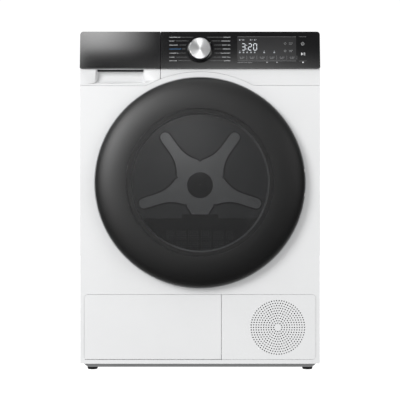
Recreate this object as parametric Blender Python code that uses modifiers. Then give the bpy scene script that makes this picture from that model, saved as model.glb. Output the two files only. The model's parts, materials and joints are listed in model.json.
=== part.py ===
"""Front-loading heat-pump tumble dryer, as an assembly of separate sub-parts.

Frame: +X is to the right of someone facing the machine, -Y points at them, +Z is up.
The origin is on the floor, under the middle of the overall box.  All sizes are in metres.
"""
import math

import bmesh
import bpy
from mathutils import Matrix, Vector

# ---- Overall sizes
WIDTH = 0.595
HEIGHT = 0.845
CABINET_DEPTH = 0.600          # front sheet to rear sheet
DOOR_PROUD = 0.045             # the door's crown in front of the front sheet
DUCT_PROUD = 0.010             # the air duct's cover behind the rear sheet
FOOT_HEIGHT = 0.010            # the base's underside above the floor
SKIRT = 0.010                  # how far the base shows below the sheets

# ---- Thicknesses and clearances
SHEET = 0.0012
PLASTIC = 0.003
TOP_THICK = 0.016
TOUCH = 0.0003                 # between pieces that rest on each other
SEAM = 0.0012                  # between the outer panels
RUNNING = 0.0010               # around pieces that slide or turn past others
ROUND_STEPS = 60               # facets round the door and the drum

# ---- Front: control panel, strip, kick area
PANEL_HEIGHT = 0.093
PANEL_TILT = math.radians(8)
PANEL_PROUD = 0.0075           # the panel's lower edge in front of the front sheet
STRIP_HEIGHT = 0.042
FLANGE = 0.011                 # the front pieces' folded sides
SPLIT_X = -0.098               # between the tank drawer and the fixed panel
PANEL_RADIUS = 0.008
KICK_SIDE = 0.010              # the front sheet beside the kick opening
KICK_BOTTOM = 0.030
KICK_TOP = 0.192
KICK_RADIUS = 0.009
FLAP_FOOT_RADIUS = 0.0016        # tighter at the flap's lower corner, so that it swings clear
FLAP_SPLIT_X = 0.053           # between the service flap and the vent panel
FLAP_THICK = 0.004
FLAP_PIVOT_RISE = 0.0034         # the flap's axis above its lower edge
VENT_DROP = 0.082              # the vent pattern's centre below the kick area's top
VENT_INSET = 0.0945            # and in from its right edge
VENT_RADIUS = 0.068

# ---- Knob
KNOB_RADIUS = 0.0278
KNOB_SKIRT = 0.0320
KNOB_HEIGHT = 0.016
KNOB_DROP = 0.047              # its axis below the top of the machine

# ---- Door
DOOR_RADIUS = 0.259
DOOR_DROP = 0.283              # its centre below the panel's lower edge
RING_WIDTH = 0.077             # the black ring round the window
CROWN = 0.028                  # the ring's fall from the window to the rim
ARCH_LAND = 0.008              # the strip left between the arch and the panel
FRAME_LIP = 0.0025             # the inner frame shows round the ring
MOUTH_INSET = 0.081            # the door's rim outside the mouth
MOUTH_FLANGE = 0.034
BOWL_GAP = 0.013               # round the bowl in the mouth
BOWL_DEPTH = 0.014
PIN_RADIUS = 0.0025
PIN_INSET = 0.0115             # the hinge axis inside the door's rim
PIN_OUT = 0.016                # and in front of the front sheet
EAR_SPREAD = 0.030
EAR_THICK = 0.006
SLOT_FRONT = 0.0026              # the rim's slots start this far in front of the hinge axis

# ---- Drum and drive
DRUM_RADIUS = 0.280
DRUM_WALL = 0.0015
DRUM_LIP = 0.048               # the drum's front opening is this much smaller
DRUM_FRONT_INSET = 0.062
DRUM_REAR_INSET = 0.0725
SHAFT_RADIUS = 0.012
LIFTER_WIDTH = 0.080
LIFTER_HEIGHT = 0.050
ROLLER_RADIUS = 0.025
ROLLER_ANGLE = math.radians(35)
BELT_THICK = 0.003
BELT_WIDTH = 0.008
PULLEY_RADIUS = 0.009
IDLER_RADIUS = 0.018
MOTOR_RADIUS = 0.055
MOTOR_LENGTH = 0.120
MOTOR_DROP = 0.334             # its axis below the drum's

# ---- Lint filter, water tank, heat pump
FILTER_INSET = 0.0835          # the filter's side inside the mouth's
FILTER_THICK = 0.0164
FILTER_DROP = 0.079            # the filter's foot below the mouth
LIP_ANGLE = math.radians(30)   # where the filter's lip meets the mouth, below level
TANK_DEPTH = 0.440
TANK_HEIGHT = 0.060
RECESS_WIDTH = 0.134
RECESS_DEPTH = 0.020
COIL_TOP = 0.170
COMPRESSOR_RADIUS = 0.058
COMPRESSOR_TOP = 0.172
FOOT_RADIUS = 0.013
FOOT_STEM = 0.005

# ---- Places that follow from the sizes
HALF = WIDTH / 2
DEPTH = CABINET_DEPTH + DOOR_PROUD + DUCT_PROUD
Y_DOOR = -DEPTH / 2
Y_FRONT = Y_DOOR + DOOR_PROUD
Y_REAR = Y_FRONT + CABINET_DEPTH
Y_SIDE = Y_FRONT + FLANGE + SEAM
SHEETS_BOTTOM = FOOT_HEIGHT + SKIRT
SHEETS_TOP = HEIGHT - TOP_THICK - TOUCH
PANEL_BOTTOM = HEIGHT - PANEL_HEIGHT
STRIP_BOTTOM = PANEL_BOTTOM - STRIP_HEIGHT
DOOR_Z = PANEL_BOTTOM - DOOR_DROP
ARCH_RADIUS = DOOR_DROP - ARCH_LAND
WINDOW_RADIUS = DOOR_RADIUS - RING_WIDTH
MOUTH_RADIUS = DOOR_RADIUS - MOUTH_INSET
BOWL_RADIUS = MOUTH_RADIUS - BOWL_GAP
FILTER_HALF = MOUTH_RADIUS - FILTER_INSET
MOUTH_BACK = Y_FRONT + 0.042
DRUM_FRONT = Y_FRONT + DRUM_FRONT_INSET
DRUM_REAR = Y_REAR - DRUM_REAR_INSET
LIP_Z = DOOR_Z - MOUTH_RADIUS * math.sin(LIP_ANGLE)
BELT_Y = DRUM_REAR - 0.135
MOTOR_X = HALF - 0.1075
MOTOR_Z = DOOR_Z - MOTOR_DROP
PIN = Vector((DOOR_RADIUS - PIN_INSET, Y_FRONT - PIN_OUT, DOOR_Z))
BACK_PLANE = Y_FRONT - 0.005   # the door's back
BASE_FLOOR = FOOT_HEIGHT + 0.004

FINISHES = {
    "white": ((0.86, 0.87, 0.88), 0.35, 0.0),
    "black": ((0.012, 0.012, 0.014), 0.12, 0.0),
    "grey": ((0.42, 0.43, 0.45), 0.5, 0.0),
    "light": ((0.66, 0.67, 0.69), 0.4, 0.0),
    "dark": ((0.05, 0.05, 0.055), 0.6, 0.0),
    "steel": ((0.62, 0.63, 0.64), 0.3, 1.0),
    "zinc": ((0.55, 0.57, 0.60), 0.45, 0.9),
    "glass": ((0.05, 0.055, 0.06), 0.05, 0.0),
    "clear": ((0.55, 0.58, 0.60), 0.08, 0.0),
    "board": ((0.02, 0.16, 0.07), 0.5, 0.0),
    "rubber": ((0.02, 0.02, 0.02), 0.8, 0.0),
    "felt": ((0.30, 0.29, 0.27), 0.95, 0.0),
    "aluminium": ((0.75, 0.76, 0.77), 0.35, 1.0),
    "brass": ((0.70, 0.52, 0.25), 0.35, 1.0),
}

# A flat outline's own X, Y and Z turned to the plane across each world axis
ACROSS = {
    "X": Matrix(((0, 0, 1, 0), (1, 0, 0, 0), (0, 1, 0, 0), (0, 0, 0, 1))),
    "Y": Matrix(((1, 0, 0, 0), (0, 0, -1, 0), (0, 1, 0, 0), (0, 0, 0, 1))),
    "Z": Matrix.Identity(4),
}
# A turned profile's own Z turned to the world axis that it is turned about
ALONG = {
    "Y": Matrix.Rotation(-math.pi / 2, 4, "X"),
    "Z": Matrix.Identity(4),
}
UNIT = {"X": Vector((1, 0, 0)), "Y": Vector((0, 1, 0)), "Z": Vector((0, 0, 1))}
# The control panel's face: outlines lie in it, with +Z out of it
FACE = Matrix.Translation((0, Y_FRONT - PANEL_PROUD, PANEL_BOTTOM)) @ Matrix.Rotation(
    math.pi / 2 - PANEL_TILT, 4, "X")


# ---- Building blocks
def clear_scene():
    for obj in list(bpy.data.objects):
        bpy.data.objects.remove(obj, do_unlink=True)


def collection(name):
    made = bpy.data.collections.new(name)
    bpy.context.scene.collection.children.link(made)
    return made


clear_scene()
PARTS = collection("clothes_dryer")
TOOLS = collection("cutters")


def tool(name, mesh, matrix):
    """A new object, hidden among the cutters until part() makes it a sub-part."""
    obj = bpy.data.objects.new(name, mesh)
    TOOLS.objects.link(obj)
    obj.matrix_world = matrix
    obj.hide_render = True
    obj.display_type = "WIRE"
    return obj


def part(obj, finish):
    """Makes an object a sub-part with a material of its own."""
    TOOLS.objects.unlink(obj)
    PARTS.objects.link(obj)
    obj.hide_render = False
    obj.display_type = "TEXTURED"
    colour, roughness, metallic = FINISHES[finish]
    material = bpy.data.materials.new(obj.name + "_finish")
    material.use_nodes = True
    shader = material.node_tree.nodes["Principled BSDF"]
    shader.inputs["Base Color"].default_value = (*colour, 1)
    shader.inputs["Roughness"].default_value = roughness
    shader.inputs["Metallic"].default_value = metallic
    obj.data.materials.clear()
    obj.data.materials.append(material)
    return obj


def boolean(obj, other, operation):
    modifier = obj.modifiers.new(operation.lower(), "BOOLEAN")
    modifier.operation = operation
    modifier.solver = "EXACT"
    modifier.object = other
    return obj


def cut(obj, *cutters):
    for cutter in cutters:
        boolean(obj, cutter, "DIFFERENCE")
    return obj


def join(obj, *others):
    for other in others:
        boolean(obj, other, "UNION")
    return obj


def block(name, low, high, bevel=0.0):
    """A box between two corners, its edges rounded by bevel."""
    low, high = Vector(low), Vector(high)
    mesh = bpy.data.meshes.new(name)
    shape = bmesh.new()
    bmesh.ops.create_cube(shape, size=1)
    bmesh.ops.scale(shape, vec=high - low, verts=shape.verts)
    shape.to_mesh(mesh)
    shape.free()
    obj = tool(name, mesh, Matrix.Translation((low + high) / 2))
    if bevel:
        modifier = obj.modifiers.new("edges", "BEVEL")
        modifier.width = bevel
        modifier.segments = 2
    return obj


def meshed(name, curve, matrix):
    """A closed mesh from a curve, its loose caps welded."""
    guide = tool(name + "_guide", curve, Matrix.Identity(4))
    depsgraph = bpy.context.evaluated_depsgraph_get()
    mesh = bpy.data.meshes.new_from_object(guide.evaluated_get(depsgraph))
    bpy.data.objects.remove(guide, do_unlink=True)
    shape = bmesh.new()
    shape.from_mesh(mesh)
    bmesh.ops.remove_doubles(shape, verts=shape.verts, dist=1e-5)
    bmesh.ops.recalc_face_normals(shape, faces=shape.faces)
    shape.to_mesh(mesh)
    shape.free()
    return tool(name, mesh, matrix)


def outline(name, loops, thickness, matrix):
    """A flat outline with holes, thickness / 2 each way from its plane."""
    curve = bpy.data.curves.new(name, "CURVE")
    curve.dimensions = "2D"
    curve.fill_mode = "BOTH"
    curve.extrude = thickness / 2
    for loop in loops:
        spline = curve.splines.new("POLY")
        spline.points.add(len(loop) - 1)
        for point, (u, v) in zip(spline.points, loop):
            point.co = (u, v, 0, 1)
        spline.use_cyclic_u = True
    return meshed(name, curve, matrix)


def slab(name, loops, axis, start, end):
    """Outlines across a world axis: (y, z) across X, (x, z) across Y, (x, y) across Z."""
    place = Matrix.Translation(UNIT[axis] * (start + end) / 2)
    return outline(name, loops, end - start, place @ ACROSS[axis])


def pipe(name, points, radius):
    curve = bpy.data.curves.new(name, "CURVE")
    curve.dimensions = "3D"
    curve.bevel_depth = radius
    curve.bevel_resolution = 2
    curve.use_fill_caps = True
    spline = curve.splines.new("POLY")
    spline.points.add(len(points) - 1)
    for point, place in zip(spline.points, points):
        point.co = (*place, 1)
    return meshed(name, curve, Matrix.Identity(4))


def turned(name, profile, centre, axis="Y", steps=36, matrix=None):
    """A (radius, height) profile turned about an axis, closed into a ring off the axis."""
    pairs = zip(profile, profile[1:] + profile[:1])
    if sum(a[0] * b[1] - b[0] * a[1] for a, b in pairs) > 0:
        profile = profile[::-1]
    shape = bmesh.new()
    verts = [shape.verts.new((radius, 0, height)) for radius, height in profile]
    for a, b in zip(verts, verts[1:]):
        shape.edges.new((a, b))
    if profile[0][0] > 0 or profile[-1][0] > 0:
        shape.edges.new((verts[-1], verts[0]))
    mesh = bpy.data.meshes.new(name)
    shape.to_mesh(mesh)
    shape.free()
    obj = tool(name, mesh, matrix or Matrix.Translation(centre) @ ALONG[axis])
    modifier = obj.modifiers.new("turn", "SCREW")
    modifier.steps = steps
    modifier.render_steps = steps
    modifier.use_merge_vertices = True
    modifier.merge_threshold = 1e-5
    modifier.use_smooth_shade = True
    return obj


def rod(name, centre, radius, start, end, axis="Y", steps=16):
    """A round bar along an axis, from start to end in the world."""
    base = Vector(centre)
    base["XYZ".index(axis)] = 0
    profile = [(0, start), (radius, start), (radius, end), (0, end)]
    return turned(name, profile, base, axis, steps)


def arc(centre, radius, start, end, steps):
    """Points on an arc, both ends included, angles in radians."""
    turns = [start + (end - start) * step / steps for step in range(steps + 1)]
    return [(centre[0] + radius * math.cos(a), centre[1] + radius * math.sin(a)) for a in turns]


def circle(centre, radius, steps=48):
    return arc(centre, radius, 0, 2 * math.pi, steps)[:-1]


def rounded(low, high, radii, steps=5):
    """A rectangle with a radius at each corner, from the low corner anticlockwise."""
    corners = [(low[0], low[1], 1, 1), (high[0], low[1], -1, 1), (high[0], high[1], -1, -1),
               (low[0], high[1], 1, -1)]
    points = []
    for turn, ((u, v, du, dv), radius) in enumerate(zip(corners, radii)):
        if radius:
            centre = (u + du * radius, v + dv * radius)
            start = math.pi + turn * math.pi / 2
            points += arc(centre, radius, start, start + math.pi / 2, steps)
        else:
            points.append((u, v))
    return points


def on_axis(name, place, *pieces):
    """An empty on a joint's axis, which carries the pieces that move with it."""
    empty = bpy.data.objects.new(name, None)
    PARTS.objects.link(empty)
    empty.location = place
    empty.empty_display_size = 0.05
    for piece in pieces:
        piece.parent = empty
        piece.matrix_parent_inverse = Matrix.Translation(-Vector(place))
    return empty


# ---- Cabinet
def arch_crossing(radius, height):
    """Half the width of the arch about the door's centre at a height."""
    return math.sqrt(radius ** 2 - (height - DOOR_Z) ** 2)


def arch_points(radius, height, start_x, end_x, steps=24):
    """The arch from start_x to end_x, or to where it meets the straight seam at height."""
    reach = arch_crossing(radius, height)
    start_x = max(-reach, min(reach, start_x))
    end_x = max(-reach, min(reach, end_x))
    start, end = (math.acos(x / radius) for x in (start_x, end_x))
    return arc((0, DOOR_Z), radius, start, end, steps)


def make_base():
    """The plastic tray that carries the drive and the heat pump, on four holes for the feet."""
    side = HALF - KICK_SIDE + TOUCH
    front, rear = Y_FRONT + SKIRT, Y_REAR - 2 * SHEET - TOUCH
    wall_top = 0.060
    base = block("base_tray", (-side, front, FOOT_HEIGHT), (side, rear, wall_top))
    pocket = block("base_pocket", (-side + PLASTIC, front + PLASTIC, BASE_FLOOR),
                   (side - PLASTIC, rear - PLASTIC, wall_top + 0.01))
    low_front = block("base_low_front", (-side + 0.001, front - 0.01, KICK_BOTTOM - 0.006),
                      (side - 0.001, front + 2 * PLASTIC, wall_top + 0.01))
    cut(base, pocket, low_front)
    for x, y in foot_places():
        cut(base, rod("base_hole", (x, y, 0), FOOT_STEM + RUNNING / 2, 0, 0.05, "Z"))
    return part(base, "grey")


def foot_places():
    x = HALF - 0.0265
    return [(sx * x, y) for y in (Y_FRONT + 0.055, Y_REAR - 0.055) for sx in (-1, 1)]


def make_feet():
    names = ("foot_front_left", "foot_front_right", "foot_rear_left", "foot_rear_right")
    pad = FOOT_HEIGHT - TOUCH
    for name, (x, y) in zip(names, foot_places()):
        profile = [(0, 0), (FOOT_RADIUS - 0.001, 0), (FOOT_RADIUS, 0.001), (FOOT_RADIUS, pad),
                   (FOOT_STEM, pad), (FOOT_STEM, 0.040), (0, 0.040)]
        foot = part(turned(name, profile, (x, y, 0), "Z", 16), "dark")
        on_axis(name + "_slide", (x, y, 0), foot)


def make_sides_and_back():
    for name, sign in (("side_panel_left", -1), ("side_panel_right", 1)):
        inner, outer = sorted((sign * (HALF - SHEET), sign * HALF))
        loop = [(Y_SIDE, SHEETS_BOTTOM), (Y_REAR, SHEETS_BOTTOM), (Y_REAR, SHEETS_TOP),
                (Y_SIDE, SHEETS_TOP)]
        part(slab(name, [loop], "X", inner, outer), "white")

    side = HALF - SHEET - TOUCH
    corner = (0.006,) * 4
    duct_low, duct_high = (-0.150, 0.170), (0.150, DOOR_Z + 0.200)
    rear = slab("rear_panel", [rounded((-side, SHEETS_BOTTOM), (side, SHEETS_TOP), (0,) * 4),
                               rounded(duct_low, duct_high, corner)],
                "Y", Y_REAR - SHEET, Y_REAR)
    part(rear, "zinc")

    rim = 0.020
    low = (duct_low[0] - rim, duct_low[1] - rim)
    high = (duct_high[0] + rim, duct_high[1] + rim)
    cover = slab("rear_duct_cover", [rounded(low, high, (rim,) * 4)], "Y",
                 Y_REAR + TOUCH, Y_REAR + DUCT_PROUD)
    hollow = slab("duct_hollow", [rounded(duct_low, duct_high, corner)], "Y",
                  Y_REAR - 0.01, Y_REAR + DUCT_PROUD - SHEET)
    part(cut(cover, hollow), "zinc")

    gland = rod("mains_inlet", (HALF - 0.060, 0, SHEETS_TOP - 0.060), 0.011,
                Y_REAR + TOUCH, Y_REAR + DUCT_PROUD - 0.001)
    part(gland, "rubber")

    y = Y_FRONT - PANEL_PROUD + math.tan(PANEL_TILT) * PANEL_HEIGHT + 0.007
    top = block("top_panel", (-HALF, y, HEIGHT - TOP_THICK), (HALF, Y_REAR, HEIGHT), 0.002)
    part(top, "white")


def make_front_panel():
    """The front sheet, with its arch, the door opening, the kick opening and folded sides."""
    radius = ARCH_RADIUS - SEAM / 2
    seam = STRIP_BOTTOM - SEAM / 2
    edge = [(-HALF, SHEETS_BOTTOM), (HALF, SHEETS_BOTTOM), (HALF, seam)]
    edge += arch_points(radius, seam, HALF, -HALF) + [(-HALF, seam)]
    kick_side = HALF - KICK_SIDE
    opening = rounded((-kick_side, KICK_BOTTOM), (kick_side, KICK_TOP),
                      (FLAP_FOOT_RADIUS, KICK_RADIUS, KICK_RADIUS, KICK_RADIUS))
    mouth = circle((0, DOOR_Z), MOUTH_RADIUS + MOUTH_FLANGE - 0.007, ROUND_STEPS)
    hook = hook_place()
    slot = rounded((hook[0] - 0.008, hook[1] - 0.012), (hook[0] + 0.008, hook[1] + 0.012), (0,) * 4)
    front = slab("front_panel", [edge, opening, mouth, slot], "Y", Y_FRONT, Y_FRONT + SHEET)
    for sign in (-1, 1):
        inner, outer = sorted((sign * (HALF - SHEET), sign * HALF))
        fold = block("front_fold", (inner, Y_FRONT + SHEET / 2, SHEETS_BOTTOM),
                     (outer, Y_FRONT + FLANGE, seam))
        join(front, fold)
    part(front, "white")


def hook_place():
    return (-DOOR_RADIUS + 0.031, DOOR_Z)


def strip_outline(x0, x1):
    """The white strip between the arch or the straight seam and the black panel."""
    top = PANEL_BOTTOM - SEAM / 2
    seam = STRIP_BOTTOM + SEAM / 2
    arch = arch_points(ARCH_RADIUS + SEAM / 2, seam, x0, x1)
    points = [(x1, top), (x0, top)]
    if x0 < -arch_crossing(ARCH_RADIUS + SEAM / 2, seam):
        points.append((x0, seam))
    points += arch
    if x1 > arch[-1][0] + SEAM:
        points.append((x1, seam))
    return points


def make_fascia_strip():
    strip = slab("fascia_strip", [strip_outline(SPLIT_X + SEAM / 2, HALF)], "Y",
                 Y_FRONT, Y_FRONT + SHEET * 2)
    fold = block("strip_fold", (HALF - SHEET, Y_FRONT + SHEET, STRIP_BOTTOM + SEAM / 2),
                 (HALF, Y_FRONT + FLANGE, PANEL_BOTTOM - SEAM / 2))
    part(join(strip, fold), "white")


def panel_shell(name, x0, x1, radii):
    """A hollow wedge whose front leans back, with rounded corners seen from the front."""
    front = Y_FRONT - PANEL_PROUD
    back = Y_FRONT + FLANGE
    lean = math.tan(PANEL_TILT)
    body = slab(name, [rounded((x0, PANEL_BOTTOM), (x1, HEIGHT), radii)], "Y",
                front - 0.001, back)

    def wedge(label, margin, set_back):
        """The space behind, or in front of, a plane parallel to the face."""
        low, high = PANEL_BOTTOM + margin, HEIGHT - margin
        reach = back + 0.02 if set_back else front - 0.02
        face = [(front + set_back + lean * (z - PANEL_BOTTOM), z) for z in (low, high)]
        loop = face + [(reach, high), (reach, low)]
        return slab(label, [loop], "X", x0 + margin, x1 - margin)

    return cut(body, wedge(name + "_front", -0.01, 0), wedge(name + "_hollow", PLASTIC, PLASTIC))


def make_control_panel():
    fascia = panel_shell("control_fascia", SPLIT_X + SEAM / 2, HALF,
                         (0.001, PANEL_RADIUS, PANEL_RADIUS, 0.001))
    knob = knob_matrix()
    hole = turned("knob_hole", [(0, -0.02), (0.0045, -0.02), (0.0045, 0.02), (0, 0.02)], None,
                  steps=20, matrix=knob)
    part(cut(fascia, hole), "black")

    board = block("control_board", (-0.070, Y_FRONT + 0.020, PANEL_BOTTOM + 0.012),
                  (HALF - 0.025, Y_FRONT + 0.0216, SHEETS_TOP - 0.008))
    housing = block("board_rim", (-0.055, Y_FRONT + 0.0214, PANEL_BOTTOM + 0.020),
                    (HALF - 0.045, Y_FRONT + 0.032, SHEETS_TOP - 0.020))
    part(join(board, housing), "board")


def knob_matrix():
    """The knob's axis: out of the panel's face, through it at the knob's height."""
    up = (PANEL_HEIGHT - KNOB_DROP) / math.cos(PANEL_TILT)
    return FACE @ Matrix.Translation((0, up, 0))


def make_knob():
    matrix = knob_matrix()
    base = TOUCH + 0.0002
    rim = 0.010
    skirt = [(0, base), (KNOB_SKIRT, base), (KNOB_SKIRT - 0.0005, rim - 0.001),
             (KNOB_SKIRT - 0.0015, rim), (0, rim)]
    cap = [(0, rim + TOUCH), (KNOB_RADIUS, rim + TOUCH), (KNOB_RADIUS, KNOB_HEIGHT - 0.0015),
           (KNOB_RADIUS - 0.0015, KNOB_HEIGHT), (0, KNOB_HEIGHT)]
    shaft = turned("knob_shaft", [(0, -0.012), (0.004, -0.012), (0.004, rim / 2), (0, rim / 2)],
                   None, steps=20, matrix=matrix)
    skirt = part(join(turned("knob_skirt", skirt, None, matrix=matrix), shaft), "black")
    cap = part(turned("knob_cap", cap, None, matrix=matrix), "steel")
    on_axis("knob_axis", matrix.translation, skirt, cap)


def make_kick_area():
    """The service flap on its pegs, and beside it the vent panel with its ring of slots."""
    low, high = KICK_BOTTOM + SEAM / 2, KICK_TOP - SEAM / 2
    side = HALF - KICK_SIDE - SEAM / 2
    radius = KICK_RADIUS - SEAM / 2
    flap_end = FLAP_SPLIT_X - SEAM / 2
    outline_points = rounded((-side, KICK_BOTTOM + SEAM), (flap_end, high),
                             (FLAP_FOOT_RADIUS - SEAM / 2, 0, 0, radius))
    flap = slab("service_flap", [outline_points], "Y", Y_FRONT, Y_FRONT + FLAP_THICK)
    pivot = flap_pivot()
    inside = Y_FRONT + FLAP_THICK / 2
    lug_half = 0.003
    for x in (-side + 0.012, flap_end - 0.018):
        lug = [(inside, pivot.z - lug_half), (pivot.y + lug_half, pivot.z - lug_half),
               (pivot.y + lug_half, pivot.z + lug_half), (inside, pivot.z + 5 * lug_half)]
        join(flap, slab("flap_lug", [lug], "X", x, x + 2 * lug_half))
    on_axis("flap_axis", pivot, part(flap, "white"))

    loops = [rounded((FLAP_SPLIT_X + SEAM / 2, low), (side, high), (0, radius, radius, 0))]
    centre = vent_centre()
    rings = 4
    for ring in range(rings):
        middle = VENT_RADIUS * (ring + 0.6) / rings
        half_width = 0.0022
        slots = 3 + ring
        for slot in range(slots):
            start = 2 * math.pi * slot / slots
            end = start + 2 * math.pi / slots - 0.006 / middle
            loops.append(arc(centre, middle - half_width, start, end, 5)
                         + arc(centre, middle + half_width, end, start, 5))
    part(slab("vent_panel", loops, "Y", Y_FRONT, Y_FRONT + FLAP_THICK), "white")


def vent_centre():
    return (HALF - KICK_SIDE - VENT_INSET, KICK_TOP - VENT_DROP)


def flap_pivot():
    return Vector((0, Y_FRONT + FLAP_THICK, KICK_BOTTOM + SEAM + FLAP_PIVOT_RISE))


# ---- Door
def make_door():
    """Black ring, smoked window, inner frame, bowl, hook and hinge leaf on the hinge's axis."""
    centre = (0, 0, DOOR_Z)
    back = BACK_PLANE - 0.004 - TOUCH
    edge_front = Y_DOOR + 0.0007
    samples = 6

    def quarter(inset):
        """The ring's section, from the window's edge to the rim, a wall's depth in."""
        points = []
        for step in range(samples + 1):
            turn = math.pi / 2 * step / samples
            radius = WINDOW_RADIUS + (DOOR_RADIUS - WINDOW_RADIUS - inset) * math.sin(turn)
            points.append((radius, edge_front + inset + (CROWN - inset) * (1 - math.cos(turn))))
        return points

    outer = quarter(0) + [(DOOR_RADIUS, back)]
    inner = quarter(PLASTIC) + [(DOOR_RADIUS - PLASTIC, back)]
    ring = turned("door_ring", outer + inner[::-1], centre, steps=ROUND_STEPS)
    ears = (DOOR_Z - EAR_SPREAD, DOOR_Z + EAR_SPREAD)
    for z in ears:
        reach = EAR_THICK / 2 + RUNNING
        cut(ring, block("ring_slot", (PIN.x, PIN.y - SLOT_FRONT, z - reach),
                        (DOOR_RADIUS + 0.01, BACK_PLANE + 0.01, z + reach)))
    part(ring, "black")

    radius = WINDOW_RADIUS - TOUCH
    pane = [(0, Y_DOOR), (radius * 0.6, Y_DOOR + 0.0001), (radius, edge_front),
            (radius, edge_front + PLASTIC), (0, edge_front + PLASTIC)]
    part(turned("door_glass", pane, centre, steps=ROUND_STEPS), "glass")

    outside = DOOR_RADIUS + FRAME_LIP
    hole = BOWL_RADIUS + 0.003
    frame = [(hole, BACK_PLANE - 0.004), (outside, BACK_PLANE - 0.004),
             (outside - 0.0012, BACK_PLANE - 0.0022), (outside - 0.0031, BACK_PLANE),
             (hole, BACK_PLANE)]
    frame = turned("door_inner_frame", frame, centre, steps=ROUND_STEPS)
    for z in ears:
        reach = EAR_THICK / 2 + RUNNING
        cut(frame, block("frame_slot", (PIN.x - 0.038, BACK_PLANE - 0.01, z - reach),
                         (PIN.x + 0.03, BACK_PLANE + 0.01, z + reach)))
    part(frame, "light")

    rear = BACK_PLANE + BOWL_DEPTH
    rim = BOWL_RADIUS + 0.003 - TOUCH
    bowl = [(0, rear - PLASTIC), (BOWL_RADIUS - 0.014, rear - PLASTIC),
            (BOWL_RADIUS - 0.008, BACK_PLANE), (BOWL_RADIUS - 0.008, BACK_PLANE - 0.004),
            (rim, BACK_PLANE - 0.004), (rim, BACK_PLANE - 0.001), (BOWL_RADIUS, BACK_PLANE),
            (BOWL_RADIUS - 0.006, rear - 0.005), (BOWL_RADIUS - 0.012, rear), (0, rear)]
    part(turned("door_bowl", bowl, centre, steps=ROUND_STEPS), "clear")

    x, z = hook_place()
    front = BACK_PLANE + TOUCH
    hook = block("door_hook", (x - 0.004, front, z - 0.008), (x + 0.002, front + 0.024, z + 0.008))
    nose = slab("hook_nose", [[(x - 0.0015, front + 0.024), (x + 0.0055, front + 0.018),
                               (x - 0.0015, front + 0.016)]], "Z", z - 0.008, z + 0.008)
    foot = block("hook_foot", (x - 0.010, front, z - 0.010), (x + 0.010, front + 0.002, z + 0.010))
    part(join(hook, nose, foot), "steel")

    sleeve_reach = EAR_SPREAD - EAR_THICK / 2 - RUNNING / 2
    low, high = DOOR_Z - sleeve_reach, DOOR_Z + sleeve_reach
    bore = PIN_RADIUS + TOUCH
    sleeve = [(bore, low), (bore + 0.002, low), (bore + 0.002, high), (bore, high)]
    leaf = turned("door_hinge_leaf", sleeve, (PIN.x, PIN.y, 0), "Z", 24)
    front = BACK_PLANE - 0.004 - TOUCH
    plate = block("leaf_plate", (PIN.x - 0.054, front - 0.0035, low + 0.002),
                  (PIN.x - bore - 0.0006, front, high - 0.002))
    part(join(leaf, plate), "steel")

    names = ("door_ring", "door_glass", "door_inner_frame", "door_bowl", "door_hook",
             "door_hinge_leaf")
    on_axis("door_axis", PIN, *(bpy.data.objects[name] for name in names))


def make_hinge_and_catch():
    """The bracket and its pin on the front sheet, and the catch behind the sheet."""
    face = Y_FRONT - TOUCH
    root, tip = PIN.x - 0.035, PIN.x - 0.013
    reach = EAR_SPREAD + 0.007
    bracket = block("hinge_bracket", (root, face - 0.003, DOOR_Z - reach),
                    (tip, face, DOOR_Z + reach))
    boss = PIN_RADIUS + 0.0025
    loop = arc((PIN.x, PIN.y), boss, math.radians(-130), math.radians(50), 12)
    loop += [(tip, face - 0.001), (root + 0.001, face - 0.001), (root + 0.001, face - 0.0028)]
    for z in (DOOR_Z - EAR_SPREAD, DOOR_Z + EAR_SPREAD):
        ear = slab("hinge_ear", [loop], "Z", z - EAR_THICK / 2, z + EAR_THICK / 2)
        join(bracket, ear)
    reach = EAR_SPREAD + EAR_THICK / 2
    bore = rod("ear_bore", PIN, PIN_RADIUS + TOUCH, DOOR_Z - reach - 0.01, DOOR_Z + reach + 0.01, "Z")
    part(cut(bracket, bore), "steel")
    part(rod("hinge_pin", PIN, PIN_RADIUS, DOOR_Z - reach, DOOR_Z + reach, "Z"), "steel")

    x, z = hook_place()
    y = Y_FRONT + SHEET + TOUCH
    catch = block("door_catch", (x - 0.018, y, z - 0.022), (x + 0.018, y + 0.020, z + 0.022))
    slot = block("catch_slot", (x - 0.009, y - 0.01, z - 0.013), (x + 0.009, y + 0.03, z + 0.013))
    part(cut(catch, slot), "dark")


# ---- Door mouth, bulkhead and filter
def filter_box():
    """The y range of the filter's housing, and of the slot that the filter slides in."""
    front, back = Y_FRONT + 0.0110, MOUTH_BACK - TOUCH
    slot_front = front + 0.0062
    return front, back, slot_front, slot_front + FILTER_THICK + RUNNING


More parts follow.
